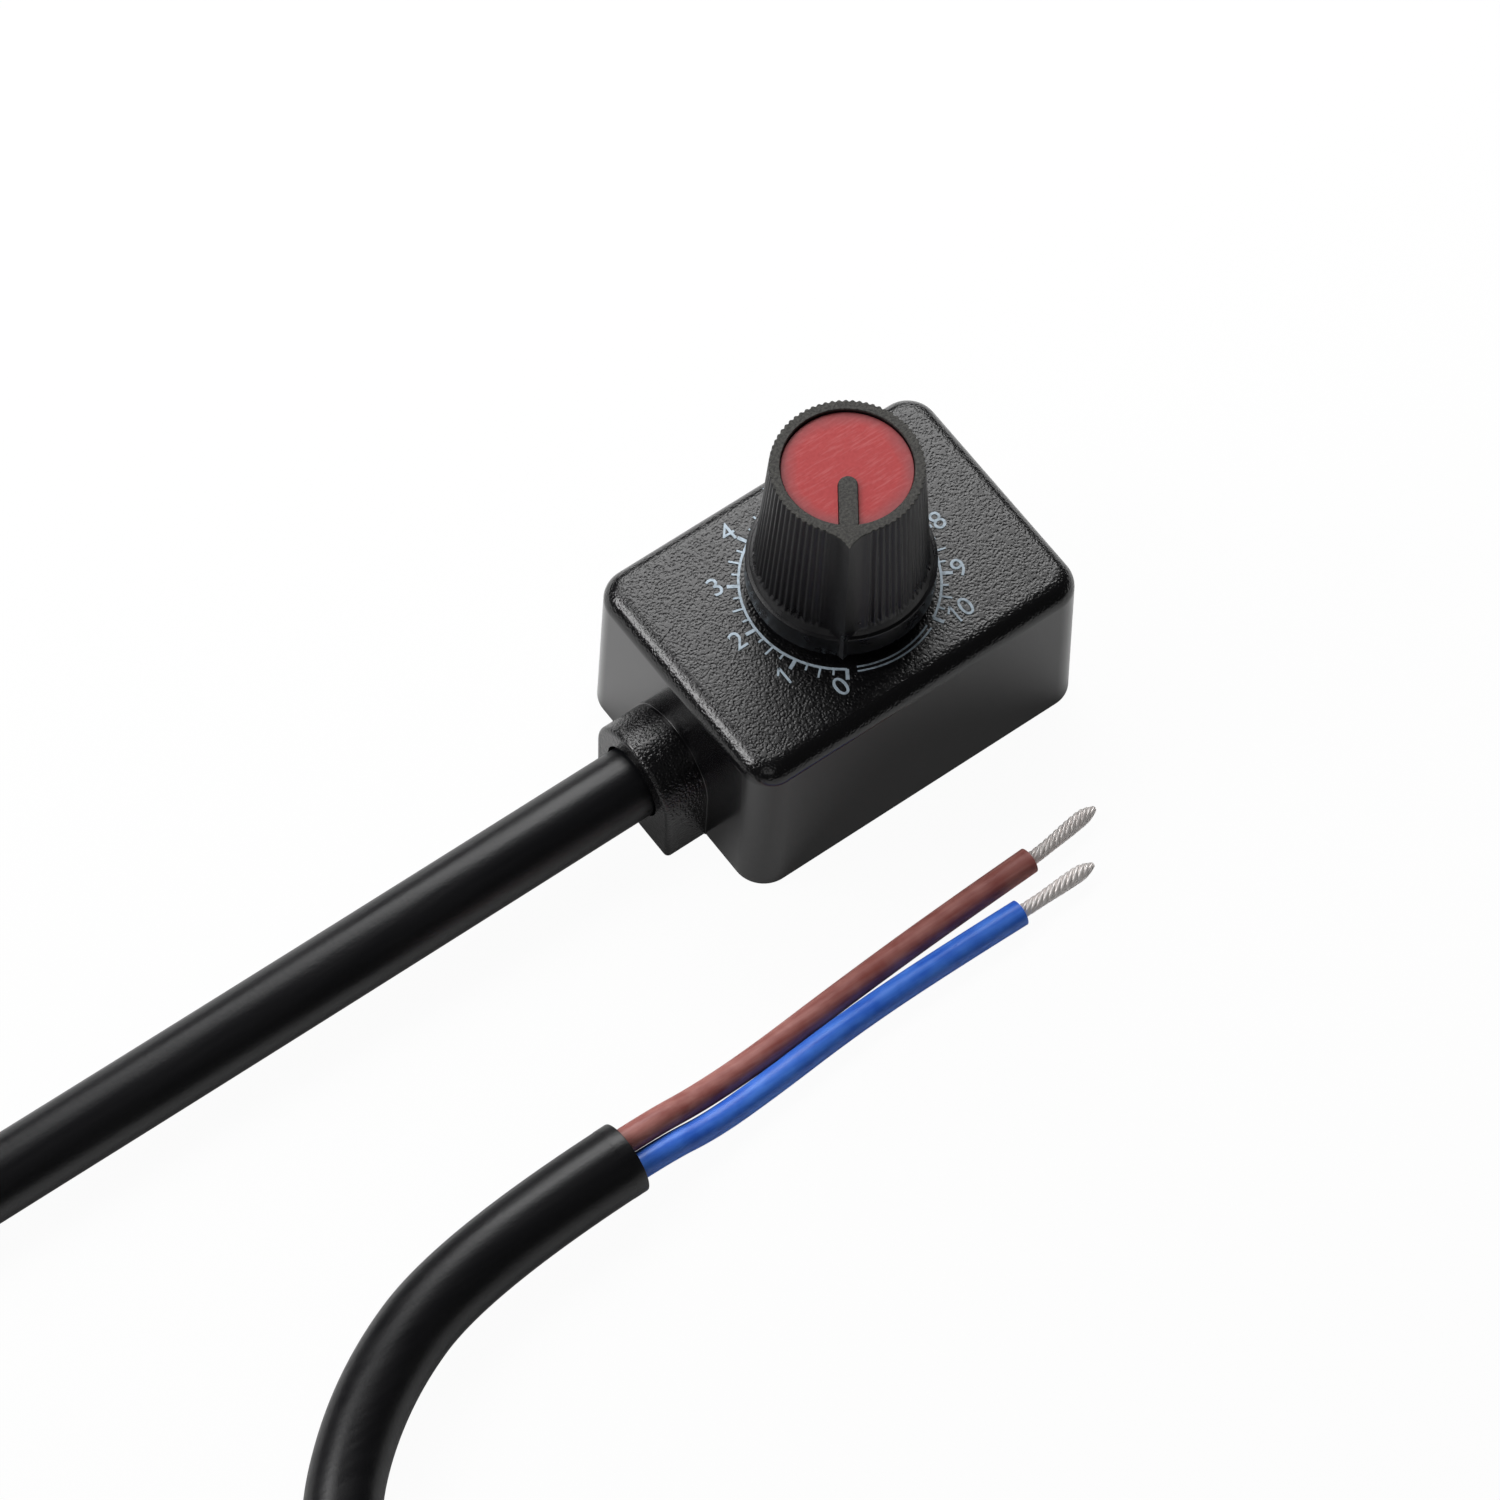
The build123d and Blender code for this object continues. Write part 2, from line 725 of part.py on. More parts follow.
# Toothed lock washer and hexagon nut on the case top
with BuildPart() as lock_washer:
    with BuildSketch(Plane.XY.offset(case_height)):
        Circle(washer_radius)
        with PolarLocations(washer_radius, washer_teeth):
            Rectangle(2 * washer_notch, washer_notch, mode=Mode.SUBTRACT)
        Circle(bushing_radius + bushing_hole_gap, mode=Mode.SUBTRACT)
    extrude(amount=washer_thickness)
save(lock_washer, "lock_washer")

with BuildPart() as hex_nut:
    with BuildSketch(Plane.XY.offset(washer_top_z)):
        RegularPolygon(nut_across_flats / 2, 6, major_radius=False)
        Circle(bushing_radius + thread_gap, mode=Mode.SUBTRACT)
    extrude(amount=nut_thickness)
save(hex_nut, "hex_nut")


# Shaft: flatted foot, shoulder, clip groove, knurled and split end
def knurl_outline(outer, depth):
    """A toothed circle, as a sketch to add: a root circle with one pointed tooth for each knurl."""
    root = outer - depth
    half_pitch = pi / knurl_teeth
    points = []
    for tooth in range(knurl_teeth):
        valley, crest = (2 * tooth - 1) * half_pitch, 2 * tooth * half_pitch
        points.append((root * cos(valley), root * sin(valley)))
        points.append((outer * cos(crest), outer * sin(crest)))
    with BuildSketch() as knurl:
        with BuildLine():
            Polyline(*points, close=True)
        make_face()
    return knurl.sketch


clip_z = bushing_top_z + clip_gap
knurl_z = shaft_top_z - knurl_length
with BuildPart() as pot_shaft:
    with BuildSketch(Plane.XY.offset(rotor_z)):
        Circle(shaft_foot_radius)
        Rectangle(2 * shaft_foot_radius, shaft_foot_flats, mode=Mode.INTERSECT)
    extrude(amount=shoulder_z - rotor_z)
    with BuildSketch(Plane.XY.offset(shoulder_z)):
        Circle(shaft_shoulder_radius)
    extrude(amount=shaft_shoulder_thickness)
    with BuildSketch(Plane.XY.offset(shoulder_z)):
        Circle(shaft_radius)
    extrude(amount=knurl_z - shoulder_z)
    with BuildSketch(Plane.XY.offset(clip_z - clip_gap / 2)):
        Circle(shaft_radius + clip_gap)
        Circle(clip_groove_radius, mode=Mode.SUBTRACT)
    extrude(amount=clip_thickness + clip_gap, mode=Mode.SUBTRACT)
    with BuildSketch(Plane.XY.offset(knurl_z)):
        add(knurl_outline(shaft_radius, knurl_depth))
    extrude(amount=knurl_length)
    with BuildSketch(Plane.XY.offset(shaft_top_z - shaft_slot_depth)):
        Rectangle(shaft_slot_width, 3 * shaft_radius)
    extrude(amount=shaft_slot_depth, mode=Mode.SUBTRACT)
save(pot_shaft, "pot_shaft")

# Retaining clip in the shaft's groove
with BuildPart() as shaft_clip:
    with BuildSketch(Plane.XY.offset(clip_z)):
        Circle(clip_radius)
        Circle(clip_groove_radius + clip_gap, mode=Mode.SUBTRACT)
        Rectangle(2 * clip_radius, clip_opening, align=(Align.MIN, Align.CENTER), mode=Mode.SUBTRACT)
    extrude(amount=clip_thickness)
save(shaft_clip, "shaft_clip")

# Rotor with its stop lug, carried on the shaft's flatted foot
with BuildPart() as pot_rotor:
    with BuildSketch(Plane.XY.offset(rotor_z)):
        Circle(rotor_radius)
        add(ring_sector(rotor_hub_radius, rotor_lug_radius, wiper_angle, rotor_lug_half_angle))
    extrude(amount=rotor_thickness)
    with BuildSketch(Plane.XY.offset(rotor_z)):
        Circle(rotor_hub_radius)
    extrude(amount=shoulder_z - rotor_z)
    with BuildSketch(Plane.XY.offset(rotor_z)):
        Circle(shaft_foot_radius + rotor_fit)
        Rectangle(
            3 * shaft_foot_radius, shaft_foot_flats + 2 * rotor_fit, mode=Mode.INTERSECT
        )
    extrude(amount=shoulder_z - rotor_z, mode=Mode.SUBTRACT)
save(pot_rotor, "pot_rotor")

# Wiper: a sprung ring with a finger on the track and one on the collector
with BuildPart() as wiper:
    with BuildSketch(Plane.XY.offset(rotor_top_z)):
        Circle(wiper_ring_radius)
        add(ring_sector(rotor_hub_radius, wiper_reach, wiper_angle, wiper_half_angle))
        Circle(wiper_bore, mode=Mode.SUBTRACT)
    extrude(amount=wiper_thickness)
    with BuildSketch(Plane.XY.offset(rotor_top_z + wiper_thickness)):
        for radius in ((track_inner + track_outer) / 2, (collector_inner + collector_outer) / 2):
            place = radians(wiper_angle)
            with Locations((radius * cos(place), radius * sin(place))):
                Circle(wiper_finger_radius)
    extrude(amount=wiper_top_z - rotor_top_z - wiper_thickness)
save(wiper, "wiper")

# Knob
pointer = Plane.XY.rotated((0, 0, pointer_angle))


def fluted_outline(ridge):
    """The fluted ring, as a sketch to add: pointed ridges, but for a smooth sector at the pointer."""
    first = pointer_angle + smooth_half_angle
    pitch = (360 - 2 * smooth_half_angle) / flute_count
    points = []
    for flute in range(flute_count):
        for radius, share in ((ridge, 0), (ridge - flute_depth, 0.5)):
            angle = radians(first + (flute + share) * pitch)
            points.append((radius * cos(angle), radius * sin(angle)))
    for step in range(smooth_steps):
        angle = radians(pointer_angle + smooth_half_angle * (2 * step / smooth_steps - 1))
        points.append((ridge * cos(angle), ridge * sin(angle)))
    with BuildSketch() as flutes:
        with BuildLine():
            Polyline(*points, close=True)
        make_face()
    return flutes.sketch


cone_slope = (cone_base_radius - cone_top_radius) / (knob_top_z - flange_top_z)
cove_top_z = flange_top_z + cove_height
cove_top_radius = cone_base_radius - cove_height * cone_slope - flute_depth - cove_sink
with BuildPart() as knob_body:
    with BuildSketch(Plane.XZ):
        with BuildLine():
            Polyline(
                (0, knob_z),
                (flange_radius, knob_z),
                (flange_radius, flange_top_z),
                (cove_top_radius, cove_top_z),
                (0, cove_top_z),
                close=True,
            )
        make_face()
    revolve(axis=Axis.Z)
    with BuildSketch(Plane.XY.offset(flange_top_z - flange_edge)):
        add(fluted_outline(cone_base_radius + flange_edge * cone_slope))
    with BuildSketch(Plane.XY.offset(knob_top_z)):
        add(fluted_outline(cone_top_radius))
    loft(ruled=True)
    for z, tip in ((knob_z, prow_base_radius), (knob_top_z, prow_top_radius)):
        root_half_width = (tip - prow_root_radius) * tan(radians(prow_half_angle))
        with BuildSketch(pointer.offset(z)):
            with BuildLine():
                Polyline(
                    (tip, 0),
                    (prow_root_radius, root_half_width),
                    (prow_root_radius, -root_half_width),
                    close=True,
                )
            make_face()
    loft(ruled=True)
    with BuildSketch(Plane.XY.offset(disc_z)):
        Circle(disc_radius)
    extrude(amount=disc_thickness + disc_recess, mode=Mode.SUBTRACT)
    bar_inner = pointer_start + pointer_width / 2
    with BuildSketch(pointer.offset(disc_z)):
        with Locations((bar_inner, 0)):
            Circle(pointer_width / 2)
            Rectangle(
                disc_radius + pointer_root - bar_inner, pointer_width, align=(Align.MIN, Align.CENTER)
            )
    extrude(amount=disc_thickness + disc_recess)
    with BuildSketch(Plane.XY.offset(disc_z - disc_peg_length)):
        Circle(disc_peg_radius + disc_gap)
    extrude(amount=disc_peg_length, mode=Mode.SUBTRACT)
    with BuildSketch(Plane.XY.offset(knob_z)):
        Circle(skirt_bore_radius)
    extrude(amount=skirt_depth, mode=Mode.SUBTRACT)
    hub_z = clip_z + clip_thickness + hub_lift
    with BuildSketch(Plane.XY.offset(hub_z)):
        Circle(core_slot_radius)
        Circle(hub_radius, mode=Mode.SUBTRACT)
    extrude(amount=disc_z - core_slot_top - hub_z, mode=Mode.SUBTRACT)
    bore_depth = shaft_top_z + hub_lift - hub_z
    with BuildSketch(Plane.XY.offset(hub_z)):
        add(knurl_outline(shaft_radius + hub_fit, knurl_depth))
    extrude(amount=bore_depth, mode=Mode.SUBTRACT)
    with BuildSketch(Plane.XY.offset(hub_z)):
        Circle(shaft_radius + hub_fit)
    extrude(amount=knurl_z + hub_lift - hub_z, mode=Mode.SUBTRACT)
save(knob_body, "knob_body")

# Red cap: a disc with a slot for the pointer bar and a peg for the knob's top web
with BuildPart() as knob_cap:
    with BuildSketch(Plane.XY.offset(disc_z)):
        Circle(disc_radius - disc_gap)
    extrude(amount=disc_thickness)
    with BuildSketch(Plane.XY.offset(disc_z - disc_peg_length + disc_gap)):
        Circle(disc_peg_radius)
    extrude(amount=disc_peg_length)
    with BuildSketch(pointer.offset(disc_z)):
        with Locations((bar_inner, 0)):
            Circle(pointer_width / 2 + disc_gap)
            Rectangle(
                disc_radius, pointer_width + 2 * disc_gap, align=(Align.MIN, Align.CENTER)
            )
    extrude(amount=disc_thickness, mode=Mode.SUBTRACT)
save(knob_cap, "knob_cap")

# Printed scale on the case top: arc, ticks and the double arc across the dead sector
with BuildPart() as printed_scale:
    with BuildSketch(Plane.XY.offset(case_height)):
        arc_middle = scale_start - scale_sweep / 2
        half_line = scale_line / 2
        add(ring_sector(scale_radius - half_line, scale_radius + half_line, arc_middle, scale_sweep / 2))
        tick_sets = (
            (4, 0, scale_numbers + 1, long_tick_end, number_tick_line),
            (4, 2, scale_numbers, long_tick_end, tick_line),
            (2, 1, 2 * scale_numbers, short_tick_end, tick_line),
        )
        division = scale_sweep / (4 * scale_numbers)
        for stride, first, count, end, line in tick_sets:
            for tick in range(count):
                angle = scale_start - (first + stride * tick) * division
                with Locations(Location((0, 0, 0), (0, 0, angle))):
                    with Locations((scale_radius, 0)):
                        Rectangle(end - scale_radius, line, align=(Align.MIN, Align.CENTER))
        dead_half = dead_arc_sweep / 2
        half_line = dead_arc_line / 2
        for radius in dead_arc_radii:
            add(ring_sector(radius - half_line, radius + half_line, dead_arc_start + dead_half, dead_half))
    extrude(amount=print_thickness)
save(printed_scale, "printed_scale")
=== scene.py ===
import json
from math import atan, cos, radians, sin, sqrt

import bmesh
import bpy
from mathutils import Matrix, Vector


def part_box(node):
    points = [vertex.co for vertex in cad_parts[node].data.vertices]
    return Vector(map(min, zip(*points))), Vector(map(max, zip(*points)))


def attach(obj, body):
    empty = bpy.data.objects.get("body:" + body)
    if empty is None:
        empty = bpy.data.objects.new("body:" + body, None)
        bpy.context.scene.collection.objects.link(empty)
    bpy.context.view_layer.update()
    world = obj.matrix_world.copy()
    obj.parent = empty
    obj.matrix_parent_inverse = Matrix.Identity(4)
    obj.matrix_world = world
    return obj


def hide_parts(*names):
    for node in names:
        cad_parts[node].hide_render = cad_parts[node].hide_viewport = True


# Looks of the rotary dimmer: its case, dial print, knob, cable and bared cores.
# Lengths are in metres, in the part's own frame. Routes and the places of figures are in millimetres.

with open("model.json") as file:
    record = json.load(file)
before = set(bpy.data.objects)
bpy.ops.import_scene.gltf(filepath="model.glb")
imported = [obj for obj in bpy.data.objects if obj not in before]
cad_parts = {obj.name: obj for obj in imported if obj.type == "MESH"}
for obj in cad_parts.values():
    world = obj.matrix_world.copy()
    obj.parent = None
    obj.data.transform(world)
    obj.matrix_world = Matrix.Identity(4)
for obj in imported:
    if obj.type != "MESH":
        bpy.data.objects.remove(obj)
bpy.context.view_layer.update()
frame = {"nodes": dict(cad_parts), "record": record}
MM = 0.001

# Places taken from the solids
case_low, case_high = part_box("case_shell")
cover_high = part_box("base_cover")[1]
knob_low, knob_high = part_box("knob_body")
cap_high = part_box("knob_cap")[1]

# Case
case_end = case_high.x
case_half_width = case_high.y
case_height = case_high.z
case_draft = 0.0216
case_corner = 2.6 * MM
case_top_edge = 1.7 * MM
case_wall = 1.7 * MM
cover_ledge = 1.0 * MM
cavity_height = 14.9 * MM
collar_radius = 4.8 * MM
collar_axis_z = 5.4 * MM
collar_edge = 0.4 * MM
cable_hole_radius = 3.2 * MM
cable_hole_depth = 3.0 * MM
bushing_hole_radius = 3.6 * MM
bead_rise = 0.12 * MM
bead_start = -case_end - 0.1 * MM
bead_end = -case_end + 0.5 * MM
bead_foot = 0.02 * MM
bead_edge = 0.07 * MM

# Knob
pointer_angle = radians(-125.4)
pointer_direction = Vector((cos(pointer_angle), sin(pointer_angle), 0))
flange_radius = 7.5 * MM
flange_top = knob_low.z + 2.35 * MM
band_top = flange_top + 1.5 * MM
band_top_radius = 6.46 * MM
cone_base_radius = 7.058 * MM
cone_top_radius = 6.0 * MM
prow_base_tip = 7.87 * MM
prow_base_spread = 1.5 * MM
prow_top_tip = 7.28 * MM
prow_top_spread = 3.0 * MM
flute_count = 70
flute_points = 6
flute_depth = 0.17 * MM
# Which points of a flute are sunk, and by what share of its depth
flute_profile = ((0, 1.0), (1, 0.72), (5, 0.72), (2, 0.16), (4, 0.16))
smooth_half_angle = radians(14)
rim_edge = 0.12 * MM
# How far each step of the rounded rim rises and draws in, as shares of its size
rim_profile = ((0.62, 0.08), (0.30, 0.24), (0.08, 0.68))
pocket_radius = 5.13 * MM
pocket_depth = 1.2 * MM
pocket_edge = 0.07 * MM
bore_radius = 6.2 * MM
bore_depth = 4.0 * MM
bar_half_width = 0.75 * MM
bar_start = 0.8 * MM
bar_end = 4.85 * MM
bar_edge = 0.09 * MM
bar_sink = 0.01 * MM
cap_gap = 0.04 * MM
cap_thickness = 1.15 * MM

# Cable and cores, with the routes that the solids have, in millimetres
cable_radius = 3.0 * MM
core_radius = 1.1 * MM
sheath_wall = 0.75 * MM
sheath_recess = 0.9 * MM
sheath_floor = 0.3 * MM
sheath_edge = 0.08 * MM
cable_route = [
    (-10.6, 0.0, 5.3),
    (-27.0, 0.0, 5.25),
    (-58.0, 0.85, 3.35),
    (-88.0, 1.15, 3.0),
    (-123.0, 1.0, 3.0),
    (-141.1, -11.7, 3.0),
    (-148.7, -32.4, 3.0),
    (-143.0, -53.7, 3.0),
    (-126.0, -67.9, 3.0),
    (-104.1, -69.8, 3.0),
    (-84.9, -58.8, 3.0),
    (-75.6, -38.9, 3.0),
    (-66.1, -30.0, 3.0),
    (-54.0, -25.4, 3.0),
    (-39.4, -25.4, 3.0),
]
brown_route = [
    (-39.6, -24.4, 3.5),
    (-35.7, -24.4, 3.5),
    (-31.2, -24.15, 2.0),
    (-25.4, -23.75, 1.1),
    (-16.4, -23.05, 1.1),
    (-6.2, -22.45, 1.1),
    (2.8, -22.15, 1.1),
]
blue_route = [
    (-39.6, -26.35, 2.45),
    (-35.7, -26.35, 2.45),
    (-31.5, -26.45, 1.5),
    (-26.0, -26.1, 1.1),
    (-17.0, -25.4, 1.1),
    (-8.0, -25.3, 1.1),
    (-0.6, -25.45, 1.1),
]
strand_count = 6
strand_radius = 0.25 * MM
strand_lay_radius = 0.33 * MM
strand_turns = -2.1
strand_steps = 84
swelling_place = 0.75
swelling_size = 1.16
swelling_reach = 3.2 * MM
tip_size = 0.3
tip_reach = 1.6 * MM

# Dial numbers, with their centres on the case top in millimetres, clockwise from the lower left
number_size = 2.35 * MM
figure_pitch = 1.2
stroke_width = 0.18 * MM
ink_height = 0.06 * MM
number_places = {
    "0": (-5.59, -7.73),
    "1": (-8.68, -4.34),
    "2": (-9.68, 0.23),
    "3": (-8.25, 5.14),
    "4": (-4.56, 8.56),
    "5": (0.50, 9.5),
    "6": (4.95, 8.2),
    "7": (8.6, 4.4),
    "8": (9.51, -0.10),
    "9": (8.31, -4.51),
    "10": (6.01, -7.63),
}


# Working with pieces
def take_up(*pieces):
    """Selects only these pieces, with the first one active."""
    bpy.ops.object.select_all(action="DESELECT")
    for piece in pieces:
        piece.select_set(True)
    bpy.context.view_layer.objects.active = pieces[0]


def settle(piece, name):
    """Names a new piece and puts its place into its mesh."""
    piece.name = name
    take_up(piece)
    bpy.ops.object.transform_apply(location=True, rotation=True, scale=True)
    return piece


def open_edit(piece):
    """Opens a piece in edit mode with nothing selected."""
    take_up(piece)
    bpy.ops.object.mode_set(mode="EDIT")
    bpy.ops.mesh.select_all(action="DESELECT")


def close_edit():
    bpy.ops.object.mode_set(mode="OBJECT")


def pick(piece, mode, parts, wanted):
    """Selects only those faces, edges or points of a piece in edit mode that pass the test."""
    bpy.ops.mesh.select_mode(type=mode)
    bpy.ops.mesh.select_all(action="DESELECT")
    mesh = bmesh.from_edit_mesh(piece.data)
    for part in getattr(mesh, parts):
        part.select_set(bool(wanted(part)))
    bmesh.update_edit_mesh(piece.data)


def pick_faces(piece, wanted):
    """Selects only the faces whose middle and normal pass the test."""
    pick(piece, "FACE", "faces", lambda face: wanted(face.calc_center_median(), face.normal))


def pick_edges(piece, wanted):
    """Selects only the edges whose two ends pass the test."""
    pick(piece, "EDGE", "edges", lambda edge: wanted(edge.verts[0].co, edge.verts[1].co))


def pick_points(piece, wanted):
    """Selects only the points that pass the test on their number and place."""
    pick(piece, "VERT", "verts", lambda point: wanted(point.index, point.co))


def extrude(along):
    """Draws the selected faces out along a vector."""
    bpy.ops.mesh.extrude_region_move(TRANSFORM_OT_translate={"value": along})


def resize_round_axis(ratio, height):
    """Scales the selected parts towards the knob's axis, at a height."""
    bpy.ops.transform.resize(value=(ratio, ratio, 1), center_override=(0, 0, height))


def cut_level(height, **settings):
    """Cuts the whole open piece with a level plane."""
    bpy.ops.mesh.select_all(action="SELECT")
    bpy.ops.mesh.bisect(plane_co=(0, 0, height), plane_no=(0, 0, 1), **settings)


def turn_faces_out():
    """Turns all faces of the open piece outwards."""
    bpy.ops.mesh.select_all(action="SELECT")
    bpy.ops.mesh.normals_make_consistent(inside=False)


def combine(piece, tool, operation):
    """Joins a tool to a piece, or cuts it out of it; the tool is used up."""
    take_up(piece)
    change = piece.modifiers.new(operation.title(), "BOOLEAN")
    change.operation = operation
    change.solver = "EXACT"
    change.object = tool
    bpy.ops.object.modifier_apply(modifier=change.name)
    bpy.data.objects.remove(tool)


def smooth(piece, angle):
    """Shades a piece smooth, apart from edges sharper than the angle, with its flat faces left flat."""
    take_up(piece)
    bpy.ops.object.shade_smooth_by_angle(angle=radians(angle))
    even = piece.modifiers.new("Even shading", "WEIGHTED_NORMAL")
    even.keep_sharp = True
    bpy.ops.object.modifier_apply(modifier=even.name)


def round_bar(radius, start, end, axis, name, sides=96):
    """A plain round bar from start to end, to join or cut with."""
    start, end = Vector(start), Vector(end)
    turn = {"X": (0, radians(90), 0), "Z": (0, 0, 0)}[axis]
    bpy.ops.mesh.primitive_cylinder_add(
        vertices=sides, radius=radius, depth=(end - start).length,
        location=(start + end) / 2, rotation=turn,
    )
    return settle(bpy.context.object, name)


# Materials
def new_material(name):
    material = bpy.data.materials.new(name)
    material.use_nodes = True
    return material, material.node_tree.nodes["Principled BSDF"]


def add_node(material, kind, inputs=None, **settings):
    """A shader node with its settings and the values of its sockets."""
    node = material.node_tree.nodes.new(kind)
    for setting, value in settings.items():
        setattr(node, setting, value)
    for socket, value in (inputs or {}).items():
        node.inputs[socket].default_value = value
    return node


def link(material, source, target):
    material.node_tree.links.new(source, target)


def own_place(material):
    """The place on the piece, in metres in the part's frame."""
    return add_node(material, "ShaderNodeTexCoord").outputs["Object"]


def along_axes(material, place):
    """A place's X, Y and Z, each as a socket."""
    axes = add_node(material, "ShaderNodeSeparateXYZ")
    link(material, place, axes.inputs["Vector"])
    return axes.outputs


def stretched(material, place, shares, turn=0.0):
    """A place drawn out along the axes, so that a pattern on it turns into streaks."""
    mapping = add_node(material, "ShaderNodeMapping", {"Rotation": (0, 0, turn), "Scale": shares})
    link(material, place, mapping.inputs["Vector"])
    return mapping.outputs["Vector"]


def set_or_link(material, value, socket):
    """Gives a socket a plain number or another socket's value."""
    if isinstance(value, (int, float)):
        socket.default_value = value
    else:
        link(material, value, socket)


def noise_on(material, coordinates, scale, detail=2.0, roughness=0.5, distortion=0.0):
    """A noise pattern, by how many of its bumps lie in a metre."""
    noise = add_node(
        material, "ShaderNodeTexNoise",
        {"Scale": scale, "Detail": detail, "Roughness": roughness, "Distortion": distortion},
    )
    link(material, coordinates, noise.inputs["Vector"])
    return noise.outputs["Fac"]


def remap(material, value, low, high, to_low=0.0, to_high=1.0):
    """A value's stretch from low to high, turned into another stretch."""
    node = add_node(
        material, "ShaderNodeMapRange",
        {"From Min": low, "From Max": high, "To Min": to_low, "To Max": to_high},
    )
    link(material, value, node.inputs["Value"])
    return node.outputs["Result"]


def blend_colours(material, share, first, second):
    """One colour or the other, by a share; each is a colour or a socket."""
    node = add_node(material, "ShaderNodeMix", data_type="RGBA")
    link(material, share, node.inputs["Factor"])
    for socket, colour in ((node.inputs[6], first), (node.inputs[7], second)):
        if isinstance(colour, tuple):
            socket.default_value = (*colour, 1)
        else:
            link(material, colour, socket)
    return node.outputs[2]


def arithmetic(material, operation, first, second):
    """Two values put together; each is a number or a socket."""
    node = add_node(material, "ShaderNodeMath", operation=operation)
    for socket, value in zip(node.inputs, (first, second)):
        set_or_link(material, value, socket)
    return node.outputs["Value"]


def emboss(material, shader, height, strength, depth):
    """Raises the surface by a pattern, with a depth in metres; strength is a number or a socket."""
    bump = add_node(material, "ShaderNodeBump", {"Distance": depth})
    link(material, height, bump.inputs["Height"])
    set_or_link(material, strength, bump.inputs["Strength"])
    link(material, bump.outputs["Normal"], shader.inputs["Normal"])


def case_plastic():
    """Black moulding: pebbled on the top and the collar, polished on the sides."""
    material, shader = new_material("case_plastic")
    place = own_place(material)
    axes = along_axes(material, place)
    on_top = remap(material, axes["Z"], case_height - 1.45 * MM, case_height - 0.95 * MM)
    on_collar = remap(material, axes["X"], -case_end - 0.05 * MM, -case_end - 0.1 * MM)
    grained = arithmetic(material, "MAXIMUM", on_top, on_collar)
    pebbles = add_node(
        material, "ShaderNodeTexVoronoi", {"Scale": 4000.0, "Smoothness": 0.5, "Randomness": 1.0},
        feature="SMOOTH_F1",
    )
    link(material, place, pebbles.inputs["Vector"])
    pits = noise_on(material, place, 6200.0, detail=1.5)
    grain = remap(material, arithmetic(material, "ADD", pebbles.outputs["Distance"], pits), 0.55, 1.15)
    on_flat = remap(material, axes["Z"], case_height - 0.25 * MM, case_height - 0.05 * MM)
    depth = remap(material, arithmetic(material, "MAXIMUM", on_flat, on_collar), 0, 1, 0.5, 1.0)
    emboss(material, shader, grain, arithmetic(material, "MULTIPLY", grained, depth), 0.034 * MM)
    dulled = arithmetic(material, "MAXIMUM", on_flat, arithmetic(material, "MULTIPLY", on_collar, 0.4))
    link(material, remap(material, dulled, 0, 1, 0.18, 0.28), shader.inputs["Roughness"])
    shader.inputs["Specular IOR Level"].default_value = 0.6
    cloud = noise_on(material, place, 160.0)
    shade = blend_colours(material, cloud, (0.0028, 0.0028, 0.0034), (0.0045, 0.0043, 0.0050))
    link(material, shade, shader.inputs["Base Color"])
    return material


def knob_plastic():
    """Black moulding with a fine matt skin, a little scuffed; its top rim is painted lighter, as if lit
    from above.
    """
    material, shader = new_material("knob_plastic")
    place = own_place(material)
    height = along_axes(material, place)["Z"]
    on_rim = remap(material, height, knob_high.z - 0.2 * MM, knob_high.z - 0.02 * MM)
    skin = noise_on(material, place, 6500.0, detail=3.0)
    emboss(material, shader, skin, remap(material, on_rim, 0, 1, 0.2, 1.0), 0.06 * MM)
    on_band = remap(material, height, band_top + 0.4 * MM, band_top)
    rubbed = remap(material, noise_on(material, place, 650.0, detail=3.0), 0.42, 0.62)
    scuffs = arithmetic(material, "MULTIPLY", on_band, rubbed)
    rough = arithmetic(material, "SUBTRACT", remap(material, on_rim, 0, 1, 0.38, 0.6),
                       arithmetic(material, "MULTIPLY", scuffs, 0.13))
    link(material, rough, shader.inputs["Roughness"])
    shader.inputs["Specular IOR Level"].default_value = 0.38
    mottle = noise_on(material, place, 4200.0, detail=3.0)
    wall = blend_colours(material, mottle, (0.0035, 0.0034, 0.0045), (0.006, 0.0058, 0.0072))
    grit = remap(material, mottle, 0.36, 0.64)
    # The rim gets a colour far lighter than the wall's: painted light from above on the top face, with
    # real grit speckled through it.
    rim_grit_and_painted_light = blend_colours(material, grit, (0.016, 0.0155, 0.014), (0.052, 0.050, 0.044))
    link(material, blend_colours(material, on_rim, wall, rim_grit_and_painted_light), shader.inputs["Base Color"])
    return material


